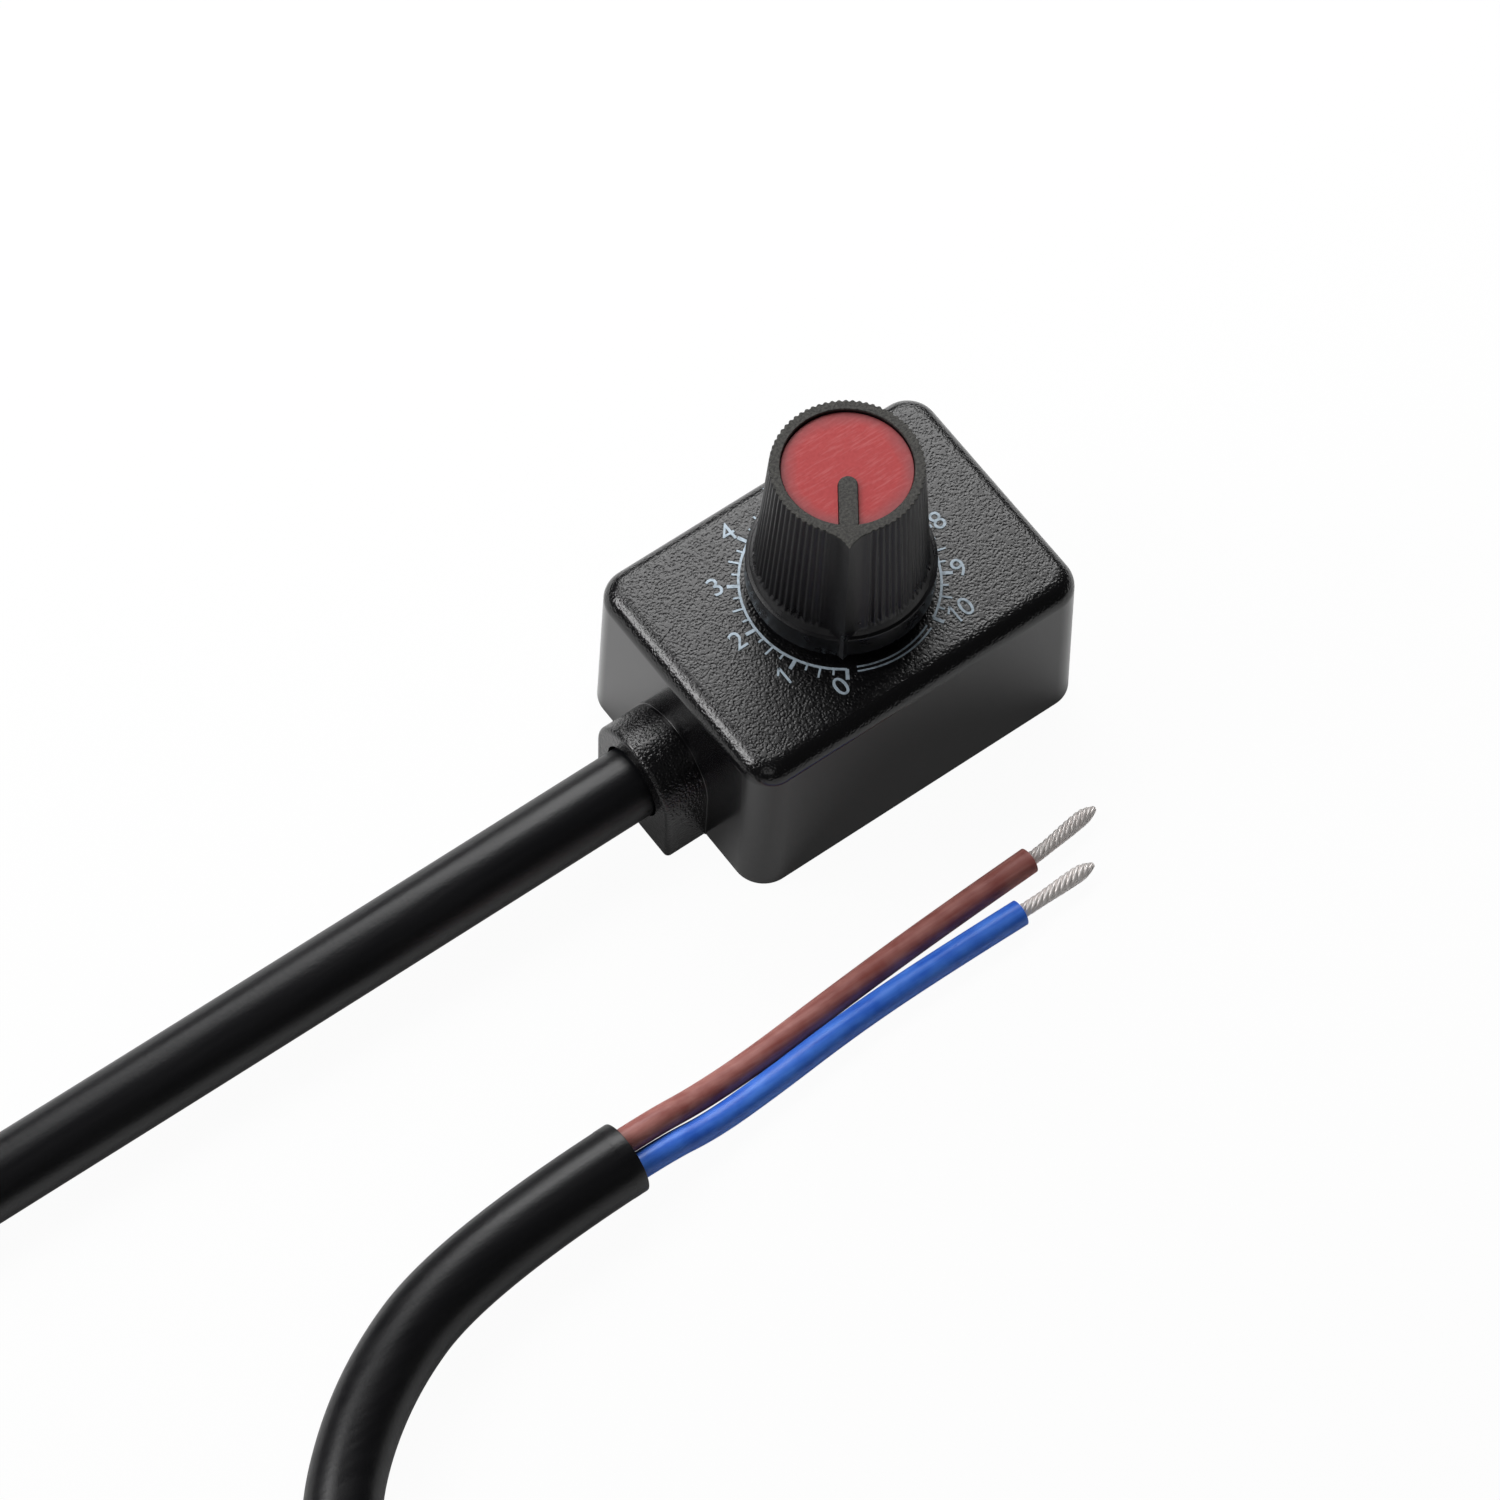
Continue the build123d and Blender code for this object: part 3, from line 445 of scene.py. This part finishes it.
def cap_plastic():
    """Red disc, brighter in the middle and greyed at its edge."""
    material, shader = new_material("cap_plastic")
    place = own_place(material)
    flat = add_node(material, "ShaderNodeVectorMath", {1: (1, 1, 0)}, operation="MULTIPLY")
    link(material, place, flat.inputs[0])
    reach = add_node(material, "ShaderNodeVectorMath", operation="LENGTH")
    link(material, flat.outputs["Vector"], reach.inputs[0])
    cloud = noise_on(material, place, 420.0, detail=3.0)
    ragged = arithmetic(material, "ADD", reach.outputs["Value"],
                        arithmetic(material, "MULTIPLY", cloud, 1.6 * MM))
    edge = remap(material, ragged, 4.7 * MM, 6.1 * MM)
    speckle = noise_on(material, place, 3800.0, detail=3.0)
    red = blend_colours(material, speckle, (0.33, 0.026, 0.028), (0.45, 0.048, 0.050))
    worn = blend_colours(material, speckle, (0.20, 0.042, 0.047), (0.29, 0.078, 0.082))
    slanted = stretched(material, place, (0.12, 1, 1), radians(35))
    scratches = remap(material, noise_on(material, slanted, 6500.0, detail=3.0), 0.5, 0.9)
    rubbed = blend_colours(material, scratches, red, (0.48, 0.11, 0.11))
    link(material, blend_colours(material, edge, rubbed, worn), shader.inputs["Base Color"])
    shader.inputs["Roughness"].default_value = 0.55
    shader.inputs["Specular IOR Level"].default_value = 0.3
    emboss(material, shader, speckle, 0.2, 0.03 * MM)
    return material


def scale_ink():
    """Pale blue-white ink, thin in places."""
    material, shader = new_material("scale_ink")
    place = own_place(material)
    thin = remap(material, noise_on(material, place, 2400.0, detail=3.0), 0.30, 0.52)
    link(material, blend_colours(material, thin, (0.27, 0.33, 0.38), (0.45, 0.54, 0.62)),
         shader.inputs["Base Color"])
    shader.inputs["Roughness"].default_value = 0.55
    return material


def cable_sheath():
    """Black extruded sheath with a soft sheen and faint lines along it."""
    material, shader = new_material("cable_sheath")
    place = own_place(material)
    lines = noise_on(material, stretched(material, place, (0.06, 1, 1)), 1500.0, detail=3.0)
    skin = noise_on(material, place, 3000.0)
    emboss(material, shader, arithmetic(material, "ADD", lines, skin), 0.3, 0.04 * MM)
    link(material, remap(material, lines, 0.3, 0.7, 0.31, 0.39), shader.inputs["Roughness"])
    shader.inputs["Specular IOR Level"].default_value = 0.42
    link(material, blend_colours(material, lines, (0.0032, 0.0032, 0.0042), (0.006, 0.0058, 0.007)),
         shader.inputs["Base Color"])
    return material


def core_insulation(name, dark, light, roughness):
    """Coloured core insulation, streaked along the core."""
    material, shader = new_material(name)
    place = own_place(material)
    streaks = noise_on(material, stretched(material, place, (0.08, 1, 1)), 2200.0, detail=4.0)
    smudge = noise_on(material, place, 500.0)
    share = remap(material, arithmetic(material, "ADD", streaks, smudge), 0.75, 1.25)
    link(material, blend_colours(material, share, dark, light), shader.inputs["Base Color"])
    link(material, remap(material, streaks, 0.3, 0.7, roughness - 0.05, roughness + 0.08),
         shader.inputs["Roughness"])
    emboss(material, shader, streaks, 0.15, 0.04 * MM)
    return material


def plain_finish(name, dark, light, roughness, spots=900.0, metallic=1.0):
    """A plain metal, plastic or board with an uneven tone and a fine tooth."""
    material, shader = new_material(name)
    place = own_place(material)
    tone = noise_on(material, place, spots, detail=3.0)
    link(material, blend_colours(material, tone, dark, light), shader.inputs["Base Color"])
    link(material, remap(material, tone, 0.3, 0.7, roughness - 0.06, roughness + 0.08),
         shader.inputs["Roughness"])
    shader.inputs["Metallic"].default_value = metallic
    emboss(material, shader, noise_on(material, place, 4000.0), 0.15, 0.02 * MM)
    return material


finishes = {
    "case_plastic": case_plastic(),
    "knob_plastic": knob_plastic(),
    "cap_plastic": cap_plastic(),
    "cable_sheath": cable_sheath(),
    "scale_ink": scale_ink(),
}
for name, dark, light, roughness in (
    ("brown_insulation", (0.32, 0.088, 0.074), (0.47, 0.192, 0.168), 0.48),
    ("blue_insulation", (0.034, 0.150, 0.72), (0.080, 0.260, 0.92), 0.36),
):
    finishes[name] = core_insulation(name, dark, light, roughness)
for name, dark, light, *rest in (
    ("cover_plastic", (0.016, 0.016, 0.017), (0.026, 0.026, 0.027), 0.45, 700.0, 0.0),
    ("tinned_copper", (0.80, 0.72, 0.69), (0.97, 0.95, 0.93), 0.38, 2600.0, 0.35),
    ("screw_steel", (0.34, 0.34, 0.35), (0.5, 0.5, 0.5), 0.35),
    ("plate_steel", (0.52, 0.51, 0.49), (0.66, 0.65, 0.63), 0.32),
    ("bushing_zinc", (0.45, 0.45, 0.46), (0.6, 0.6, 0.6), 0.42),
    ("shaft_aluminium", (0.6, 0.6, 0.6), (0.75, 0.75, 0.75), 0.3),
    ("terminal_brass", (0.62, 0.54, 0.36), (0.74, 0.68, 0.52), 0.3),
    ("solder", (0.55, 0.55, 0.55), (0.72, 0.72, 0.72), 0.25),
    ("wafer_board", (0.19, 0.09, 0.035), (0.30, 0.15, 0.06), 0.6, 1200.0, 0.0),
    ("carbon_film", (0.012, 0.012, 0.012), (0.03, 0.03, 0.03), 0.5, 1200.0, 0.0),
    ("silver_film", (0.6, 0.6, 0.59), (0.78, 0.78, 0.76), 0.4),
    ("rotor_plastic", (0.6, 0.59, 0.55), (0.75, 0.74, 0.7), 0.45, 700.0, 0.0),
    ("tie_nylon", (0.5, 0.49, 0.45), (0.64, 0.63, 0.58), 0.4, 700.0, 0.0),
):
    finishes[name] = plain_finish(name, dark, light, *rest)

for subpart in frame["record"]["subparts"]:
    node = frame["nodes"][subpart["node"]]
    node.material_slots[0].material = finishes[subpart["material_slot"]]


def finish_piece(piece, body, slot, *nodes):
    """Gives a piece its finish, its body and the solids that it stands for."""
    piece.data.materials.clear()
    piece.data.materials.append(finishes[slot])
    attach(piece, body)
    if nodes:
        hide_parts(*nodes)


# Case shell
def make_case():
    """The drafted box with rounded edges, hollow and open below, and its cable collar."""
    size = (2 * case_end, 2 * case_half_width, case_height)
    bpy.ops.mesh.primitive_cube_add(size=1, location=(0, 0, case_height / 2), scale=size)
    case = settle(bpy.context.object, "case")
    open_edit(case)
    pick_faces(case, lambda middle, normal: normal.z > 0.9)
    draft = case_height * case_draft
    bpy.ops.transform.resize(value=(1 - draft / case_end, 1 - draft / case_half_width, 1))
    pick_edges(case, lambda a, b: abs(a.z - b.z) > case_height / 2)
    bpy.ops.mesh.bevel(offset=case_corner, segments=14)
    pick_edges(case, lambda a, b: min(a.z, b.z) > case_height - 0.01 * MM)
    bpy.ops.mesh.bevel(offset=case_top_edge, segments=12)
    pick_faces(case, lambda middle, normal: normal.z < -0.9)
    bpy.ops.mesh.inset(thickness=cover_ledge)
    extrude((0, 0, cover_high.z))
    bpy.ops.mesh.inset(thickness=case_wall - cover_ledge)
    extrude((0, 0, cavity_height - cover_high.z))
    close_edit()
    combine(case, make_collar(), "UNION")
    combine(case, make_root_bead(), "UNION")
    cable_hole = round_bar(
        cable_hole_radius, (case_low.x - MM, 0, collar_axis_z),
        (-case_end + cable_hole_depth, 0, collar_axis_z), "X", "cable_hole",
    )
    combine(case, cable_hole, "DIFFERENCE")
    bushing_hole = round_bar(
        bushing_hole_radius, (0, 0, cavity_height - MM), (0, 0, case_height + MM), "Z", "bushing_hole"
    )
    combine(case, bushing_hole, "DIFFERENCE")
    smooth(case, 32)
    finish_piece(case, "case", "case_plastic", "case_shell")


def make_arch(bar, foot):
    """Swaps the lower half of the open bar for straight sides that reach down to a height."""
    cut_level(collar_axis_z, clear_inner=True, use_fill=True)
    pick_faces(bar, lambda middle, normal: normal.z < -0.99)
    extrude((0, 0, foot - collar_axis_z))


def make_collar():
    """The cable's arch-shaped collar, with its outer edge rounded."""
    collar = round_bar(
        collar_radius, (case_low.x, 0, collar_axis_z), (-case_end + case_wall / 2, 0, collar_axis_z),
        "X", "collar",
    )
    open_edit(collar)
    make_arch(collar, 0)
    pick_edges(
        collar,
        lambda a, b: max(a.x, b.x) < case_low.x + 0.01 * MM and min(a.z, b.z) >= 0 and max(a.z, b.z) > 0
        and not (abs(a.z - b.z) < 0.001 * MM and abs(a.y - b.y) > collar_radius),
    )
    bpy.ops.mesh.bevel(offset=collar_edge, segments=5)
    close_edit()
    return collar


def make_root_bead():
    """The fine raised line where the collar meets the drafted wall."""
    radius = collar_radius + bead_rise
    bead = round_bar(
        radius, (bead_start, 0, collar_axis_z), (bead_end, 0, collar_axis_z), "X", "root_bead"
    )
    open_edit(bead)
    make_arch(bead, bead_foot)
    pick_edges(bead, lambda a, b: max(a.x, b.x) < bead_start + 0.01 * MM and max(a.z, b.z) > MM)
    bpy.ops.mesh.bevel(offset=bead_edge, segments=3)
    for height in (collar_axis_z, collar_axis_z + radius / 2):
        cut_level(height)
    bpy.ops.mesh.select_all(action="SELECT")
    bpy.ops.transform.rotate(
        value=-atan(case_draft), orient_axis="Y", center_override=(-case_end, 0, 0)
    )
    close_edit()
    return bead


# Knob
def stack_rings(name, sides, rings):
    """A turned piece: a circle drawn up through rings of (radius, height), closed at both ends."""
    (radius, height), *others = rings
    bpy.ops.mesh.primitive_circle_add(
        vertices=sides, radius=radius, location=(0, 0, height), fill_type="NGON"
    )
    piece = settle(bpy.context.object, name)
    open_edit(piece)
    bpy.ops.mesh.select_all(action="SELECT")
    for next_radius, next_height in others:
        extrude((0, 0, next_height - height))
        resize_round_axis(next_radius / radius, next_height)
        radius, height = next_radius, next_height
    turn_faces_out()
    close_edit()
    return piece


def pull_prow(piece, height, amount, spread):
    """Draws the ring at a height out to a point at the pointer, with hollow flanks."""
    mesh = bmesh.from_edit_mesh(piece.data)
    level = [point for point in mesh.verts if abs(point.co.z - height) < 0.001 * MM]
    tip = max(level, key=lambda point: point.co.dot(pointer_direction)).index
    pick_points(piece, lambda number, place: number == tip)
    bpy.ops.transform.translate(
        value=pointer_direction * amount, use_proportional_edit=True,
        proportional_edit_falloff="SHARP", proportional_size=spread,
    )


def make_knob():
    """The fluted cone with its prow on a round flange, the cap's pocket and the pointer bar."""
    bpy.ops.mesh.primitive_circle_add(
        vertices=flute_count * flute_points, radius=cone_base_radius, location=(0, 0, knob_low.z),
        rotation=(0, 0, pointer_angle - radians(90)), fill_type="NGON",
    )
    knob = settle(bpy.context.object, "knob")
    open_edit(knob)
    for step, share in flute_profile:
        pick_points(
            knob,
            lambda number, place: (number + flute_points // 2) % flute_points == step
            and place.xy.normalized().dot(pointer_direction.xy) < cos(smooth_half_angle),
        )
        resize_round_axis(1 - share * flute_depth / cone_base_radius, knob_low.z)
    pull_prow(knob, knob_low.z, prow_base_tip - cone_base_radius, prow_base_spread)
    bpy.ops.mesh.select_mode(type="FACE")
    bpy.ops.mesh.select_all(action="SELECT")
    extrude((0, 0, knob_high.z - rim_edge - knob_low.z))
    taper = cone_top_radius / cone_base_radius
    resize_round_axis(taper, knob_high.z)
    pull_prow(knob, knob_high.z - rim_edge, prow_top_tip - prow_base_tip * taper, prow_top_spread)
    rim_foot = knob_high.z - 2 * rim_edge
    pick_faces(knob, lambda middle, normal: middle.z > rim_foot and abs(normal.z) > 0.9)
    for rise, shrink in rim_profile:
        extrude((0, 0, rise * rim_edge))
        resize_round_axis(1 - shrink * rim_edge / cone_top_radius, knob_high.z)
    turn_faces_out()
    close_edit()
    flange = stack_rings("flange", 160, [
        (flange_radius - 0.1 * MM, knob_low.z),
        (flange_radius, knob_low.z + 0.1 * MM),
        (flange_radius, flange_top - 0.16 * MM),
        (flange_radius - 0.05 * MM, flange_top - 0.05 * MM),
        (flange_radius - 0.16 * MM, flange_top),
        (flange_radius - 0.30 * MM, flange_top + 0.04 * MM),
        (band_top_radius + 0.55 * MM, flange_top + 0.5 * MM),
        (band_top_radius + 0.2 * MM, flange_top + 1.05 * MM),
        (band_top_radius, band_top),
    ])
    combine(knob, flange, "UNION")
    pocket = stack_rings("pocket", 128, [
        (pocket_radius, cap_high.z - pocket_depth),
        (pocket_radius, knob_high.z - pocket_edge),
        (pocket_radius + pocket_edge, knob_high.z),
        (pocket_radius + pocket_edge, knob_high.z + MM),
    ])
    combine(knob, pocket, "DIFFERENCE")
    bore = round_bar(bore_radius, (0, 0, knob_low.z - MM), (0, 0, knob_low.z + bore_depth), "Z", "bore")
    combine(knob, bore, "DIFFERENCE")
    bar = pointer_bar(
        bar_half_width, cap_high.z - pocket_depth, knob_high.z - bar_sink, bar_end, bar_edge
    )
    combine(knob, bar, "UNION")
    smooth(knob, 38)
    finish_piece(knob, "knob", "knob_plastic", "knob_body")


def pointer_bar(half_width, low, high, end, edge):
    """A bar with round ends along the pointer, from its start to the given reach."""
    start = pointer_direction * (bar_start + bar_half_width)
    foot, head = start + Vector((0, 0, low)), start + Vector((0, 0, high))
    bar = round_bar(half_width, foot, head, "Z", "bar", 48)
    open_edit(bar)
    pick_points(bar, lambda number, place: (place - start).dot(pointer_direction) > 0.01 * MM)
    bpy.ops.transform.translate(value=pointer_direction * (end - bar_start - bar_half_width))
    if edge:
        pick_edges(bar, lambda a, b: min(a.z, b.z) > high - 0.001 * MM)
        bpy.ops.mesh.bevel(offset=edge, segments=3)
    close_edit()
    return bar


def make_cap():
    """The red disc, slotted round the pointer bar."""
    radius = pocket_radius - cap_gap
    cap = stack_rings("cap", 128, [
        (radius, cap_high.z - cap_thickness),
        (radius, cap_high.z - 0.08 * MM),
        (radius - 0.025 * MM, cap_high.z - 0.025 * MM),
        (radius - 0.08 * MM, cap_high.z),
    ])
    slot = pointer_bar(bar_half_width + cap_gap, cap_high.z - 2 * MM, cap_high.z + MM, 8 * MM, 0)
    combine(cap, slot, "DIFFERENCE")
    smooth(cap, 40)
    finish_piece(cap, "knob", "cap_plastic", "knob_cap")


# Dial numbers
def make_stroke(x, y, turn, length):
    """A straight stroke of a printed figure, with its middle at x and y and turned by degrees."""
    bpy.ops.mesh.primitive_cube_add(
        size=1, location=(x * MM, y * MM, case_height + ink_height / 2), rotation=(0, 0, radians(turn)),
        scale=(stroke_width, length, ink_height),
    )
    return settle(bpy.context.object, "stroke")


def make_figure(figure, x, y):
    """One printed figure with its middle at x and y; a 1 is made of its stem and its flag."""
    if figure == "1":
        return [
            make_stroke(x + 0.14, y, 0, 1.62 * MM),
            make_stroke(x - 0.10, y + 0.54, -42, 0.72 * MM),
        ]
    bpy.ops.object.text_add(location=(x * MM, y * MM, case_height + ink_height / 2))
    letter = bpy.context.object
    letter.data.body = figure
    letter.data.size = number_size
    letter.data.align_x = "CENTER"
    letter.data.align_y = "CENTER"
    letter.data.extrude = ink_height / 2
    take_up(letter)
    bpy.ops.object.convert(target="MESH")
    return [settle(bpy.context.object, f"figure_{figure}")]


def make_numbers():
    """The numbers 0 to 10, printed upright along the case and bent down over its rounded edge."""
    figures = []
    for text, (x, y) in number_places.items():
        for place, figure in enumerate(text):
            offset = (place - (len(text) - 1) / 2) * figure_pitch
            figures += make_figure(figure, x + offset, y)
    take_up(*figures)
    bpy.ops.object.join()
    numbers = figures[0]
    numbers.name = "dial_numbers"
    flat_end = case_half_width - case_height * case_draft - case_top_edge
    for point in numbers.data.vertices:
        over = max(0.0, abs(point.co.y) - flat_end)
        point.co.z -= case_top_edge - sqrt(case_top_edge ** 2 - over ** 2)
    finish_piece(numbers, "case", "scale_ink")


# Cable and cores
def smooth_cord(name, route, radius, slot, node):
    """A round cord along its route, as one smooth curve."""
    curve = bpy.data.curves.new(name, "CURVE")
    curve.dimensions = "3D"
    curve.bevel_depth = radius
    curve.bevel_resolution = 10
    curve.use_fill_caps = True
    spline = curve.splines.new("NURBS")
    spline.points.add(len(route) - 1)
    for point, place in zip(spline.points, route):
        point.co = (*(c * MM for c in place), 1)
    spline.order_u = 3
    spline.use_endpoint_u = True
    spline.resolution_u = 20
    cord = bpy.data.objects.new(name, curve)
    bpy.context.scene.collection.objects.link(cord)
    finish_piece(cord, "case", slot, node)
    return cord


def make_sheath_end():
    """The cut end of the sheath, hollow round the two cores."""
    end_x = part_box("brown_wire")[0].x
    length = sheath_recess + sheath_floor
    middle_y, middle_z = (c * MM for c in cable_route[-1][1:])
    bpy.ops.mesh.primitive_cylinder_add(
        vertices=64, radius=cable_radius, depth=length, end_fill_type="NGON",
        location=(end_x - length / 2, middle_y, middle_z), rotation=(0, radians(90), 0),
    )
    sheath_end = settle(bpy.context.object, "sheath_end")
    open_edit(sheath_end)
    pick_faces(sheath_end, lambda middle, normal: normal.x > 0.9)
    bpy.ops.mesh.inset(thickness=sheath_wall)
    extrude((-sheath_recess, 0, 0))
    pick_edges(sheath_end, lambda a, b: min(a.x, b.x) > end_x - 0.01 * MM)
    bpy.ops.mesh.bevel(offset=sheath_edge, segments=2)
    close_edit()
    smooth(sheath_end, 35)
    finish_piece(sheath_end, "case", "cable_sheath")
    return sheath_end


def twisted_end(name, node, route, length, lean):
    """The bared strands of a core, twisted together, swollen and rounded off, with a slight lean."""
    bpy.ops.mesh.primitive_circle_add(
        vertices=10, radius=strand_radius, location=(strand_lay_radius, 0, 0)
    )
    strand = settle(bpy.context.object, name)
    twist = strand.modifiers.new("Twist", "SCREW")
    twist.angle = radians(360) * strand_turns
    twist.screw_offset = length
    twist.steps = strand_steps
    twist.render_steps = strand_steps
    bpy.ops.object.modifier_apply(modifier=twist.name)
    open_edit(strand)
    bpy.ops.mesh.select_all(action="SELECT")
    bpy.ops.mesh.fill_holes(sides=0)
    turn_faces_out()
    close_edit()
    strands = [strand]
    for number in range(1, strand_count):
        copy = strand.copy()
        copy.data = strand.data.copy()
        bpy.context.scene.collection.objects.link(copy)
        copy.rotation_euler.z = radians(360) * number / strand_count
        strands.append(settle(copy, f"{name}_{number}"))
    strands.append(round_bar(strand_lay_radius, (0, 0, 0), (0, 0, length), "Z", f"{name}_middle", 16))
    take_up(*strands)
    bpy.ops.object.join()
    open_edit(strand)
    swelling_z = swelling_place * length
    pick_points(strand, lambda number, place: abs(place.z - swelling_z) < 0.6 * MM)
    bpy.ops.transform.resize(
        value=(swelling_size, swelling_size, 1), center_override=(0, 0, swelling_z),
        use_proportional_edit=True, proportional_edit_falloff="SMOOTH", proportional_size=swelling_reach,
    )
    pick_points(strand, lambda number, place: place.z > length - 0.02 * MM)
    bpy.ops.transform.resize(
        value=(tip_size, tip_size, 1), center_override=(0, 0, length),
        use_proportional_edit=True, proportional_edit_falloff="SHARP", proportional_size=tip_reach,
    )
    close_edit()
    before, end = (Vector(place) * MM for place in route[-2:])
    turn = (end - before).to_track_quat("Z", "Y").to_matrix().to_4x4()
    strand.matrix_world = Matrix.Translation(end) @ turn
    settle(strand, name)
    open_edit(strand)
    pick_points(strand, lambda number, place: place.x > end.x + length - 0.1 * MM)
    bpy.ops.transform.translate(
        value=(0, lean, 0), use_proportional_edit=True, proportional_edit_falloff="SMOOTH",
        proportional_size=length,
    )
    close_edit()
    smooth(strand, 50)
    finish_piece(strand, "case", "tinned_copper", node)
    return strand


def make_lead():
    """The cable from the collar to its cut end, with its two cores and their bared strands."""
    jacket = smooth_cord("cable", cable_route, cable_radius, "cable_sheath", "cable_jacket")
    brown = smooth_cord("brown_core", brown_route, core_radius, "brown_insulation", "brown_wire")
    blue = smooth_cord("blue_core", blue_route, core_radius, "blue_insulation", "blue_wire")
    brown_tip = twisted_end("brown_strands", "brown_wire_tip", brown_route, 7.1 * MM, 0.45 * MM)
    blue_tip = twisted_end("blue_strands", "blue_wire_tip", blue_route, 7.3 * MM, 0.2 * MM)
    sheath_end = make_sheath_end()


# Camera, floor and light
def place_camera():
    """The photograph's viewpoint: far off and high, with a slight roll."""
    azimuth, elevation, roll = radians(-38.519), radians(60.919), radians(2.563)
    distance = 529.41 * MM
    aim = Vector((-10.596, -2.990, 5.029)) * MM
    back = Vector((sin(azimuth) * cos(elevation), -cos(azimuth) * cos(elevation), sin(elevation)))
    level = Vector((cos(azimuth), sin(azimuth), 0))
    upright = back.cross(level)
    right = cos(roll) * level + sin(roll) * upright
    up = back.cross(right)
    data = bpy.data.cameras.new("camera")
    data.sensor_width = 36
    data.lens = 160.96
    data.clip_start = 0.01
    camera = bpy.data.objects.new("camera", data)
    bpy.context.scene.collection.objects.link(camera)
    turn = Matrix((right, up, back)).transposed().to_4x4()
    camera.matrix_world = Matrix.Translation(aim + distance * back) @ turn
    bpy.context.scene.camera = camera


def softbox(name, place, aim, width, height, power):
    """A rectangular lamp at a place, turned to its aim."""
    data = bpy.data.lights.new(name, "AREA")
    data.shape = "RECTANGLE"
    data.size = width
    data.size_y = height
    data.energy = power
    lamp = bpy.data.objects.new(name, data)
    bpy.context.scene.collection.objects.link(lamp)
    place, aim = Vector(place), Vector(aim)
    turn = (place - aim).to_track_quat("Z", "Y").to_matrix().to_4x4()
    lamp.matrix_world = Matrix.Translation(place) @ turn


def make_floor():
    """A plain white floor that shows white and keeps a faint shadow."""
    bpy.ops.mesh.primitive_plane_add(size=4, location=(0, 0, -0.02 * MM))
    floor = settle(bpy.context.object, "floor")
    material, shader = new_material("floor_paper")
    shader.inputs["Base Color"].default_value = (0.8, 0.8, 0.8, 1)
    shader.inputs["Roughness"].default_value = 0.9
    shader.inputs["Specular IOR Level"].default_value = 0.1
    white = add_node(material, "ShaderNodeEmission", {"Color": (1, 1, 1, 1), "Strength": 1.0})
    rays = add_node(material, "ShaderNodeLightPath")
    mixer = add_node(material, "ShaderNodeMixShader")
    seen = arithmetic(material, "MULTIPLY", rays.outputs["Is Camera Ray"], 0.96)
    mirrored = arithmetic(material, "MULTIPLY", rays.outputs["Is Glossy Ray"], 0.09)
    link(material, arithmetic(material, "MAXIMUM", seen, mirrored), mixer.inputs[0])
    link(material, shader.outputs["BSDF"], mixer.inputs[1])
    link(material, white.outputs["Emission"], mixer.inputs[2])
    surface = material.node_tree.nodes["Material Output"].inputs["Surface"]
    link(material, mixer.outputs["Shader"], surface)
    floor.data.materials.append(material)


def light_scene():
    """Three softboxes behind and at the left, a weak one in front, and a dim surround."""
    softbox("back_softbox", (0.135, 0.184, 0.17), (0.135, 0.184, 0), 0.29, 0.24, 1.12)
    softbox("left_softbox", (-0.215, 0.118, 0.19), (0, 0, 0.01), 0.12, 0.12, 0.36)
    softbox("high_softbox", (-0.22, 0.30, 0.42), (0, 0, 0.01), 0.25, 0.25, 0.6)
    softbox("front_softbox", (-0.25, -0.30, 0.35), (0, 0, 0.01), 0.25, 0.25, 0.13)
    world = bpy.data.worlds.new("surround")
    bpy.context.scene.world = world
    world.use_nodes = True
    background = world.node_tree.nodes["Background"]
    background.inputs["Color"].default_value = (1, 1, 1, 1)
    rays = add_node(world, "ShaderNodeLightPath")
    strength = remap(world, rays.outputs["Is Camera Ray"], 0, 1, 0.05, 1.0)
    link(world, strength, background.inputs["Strength"])


make_case()
make_knob()
make_cap()
make_numbers()
make_lead()
place_camera()
make_floor()
light_scene()
bpy.context.scene.view_settings.view_transform = "Standard"
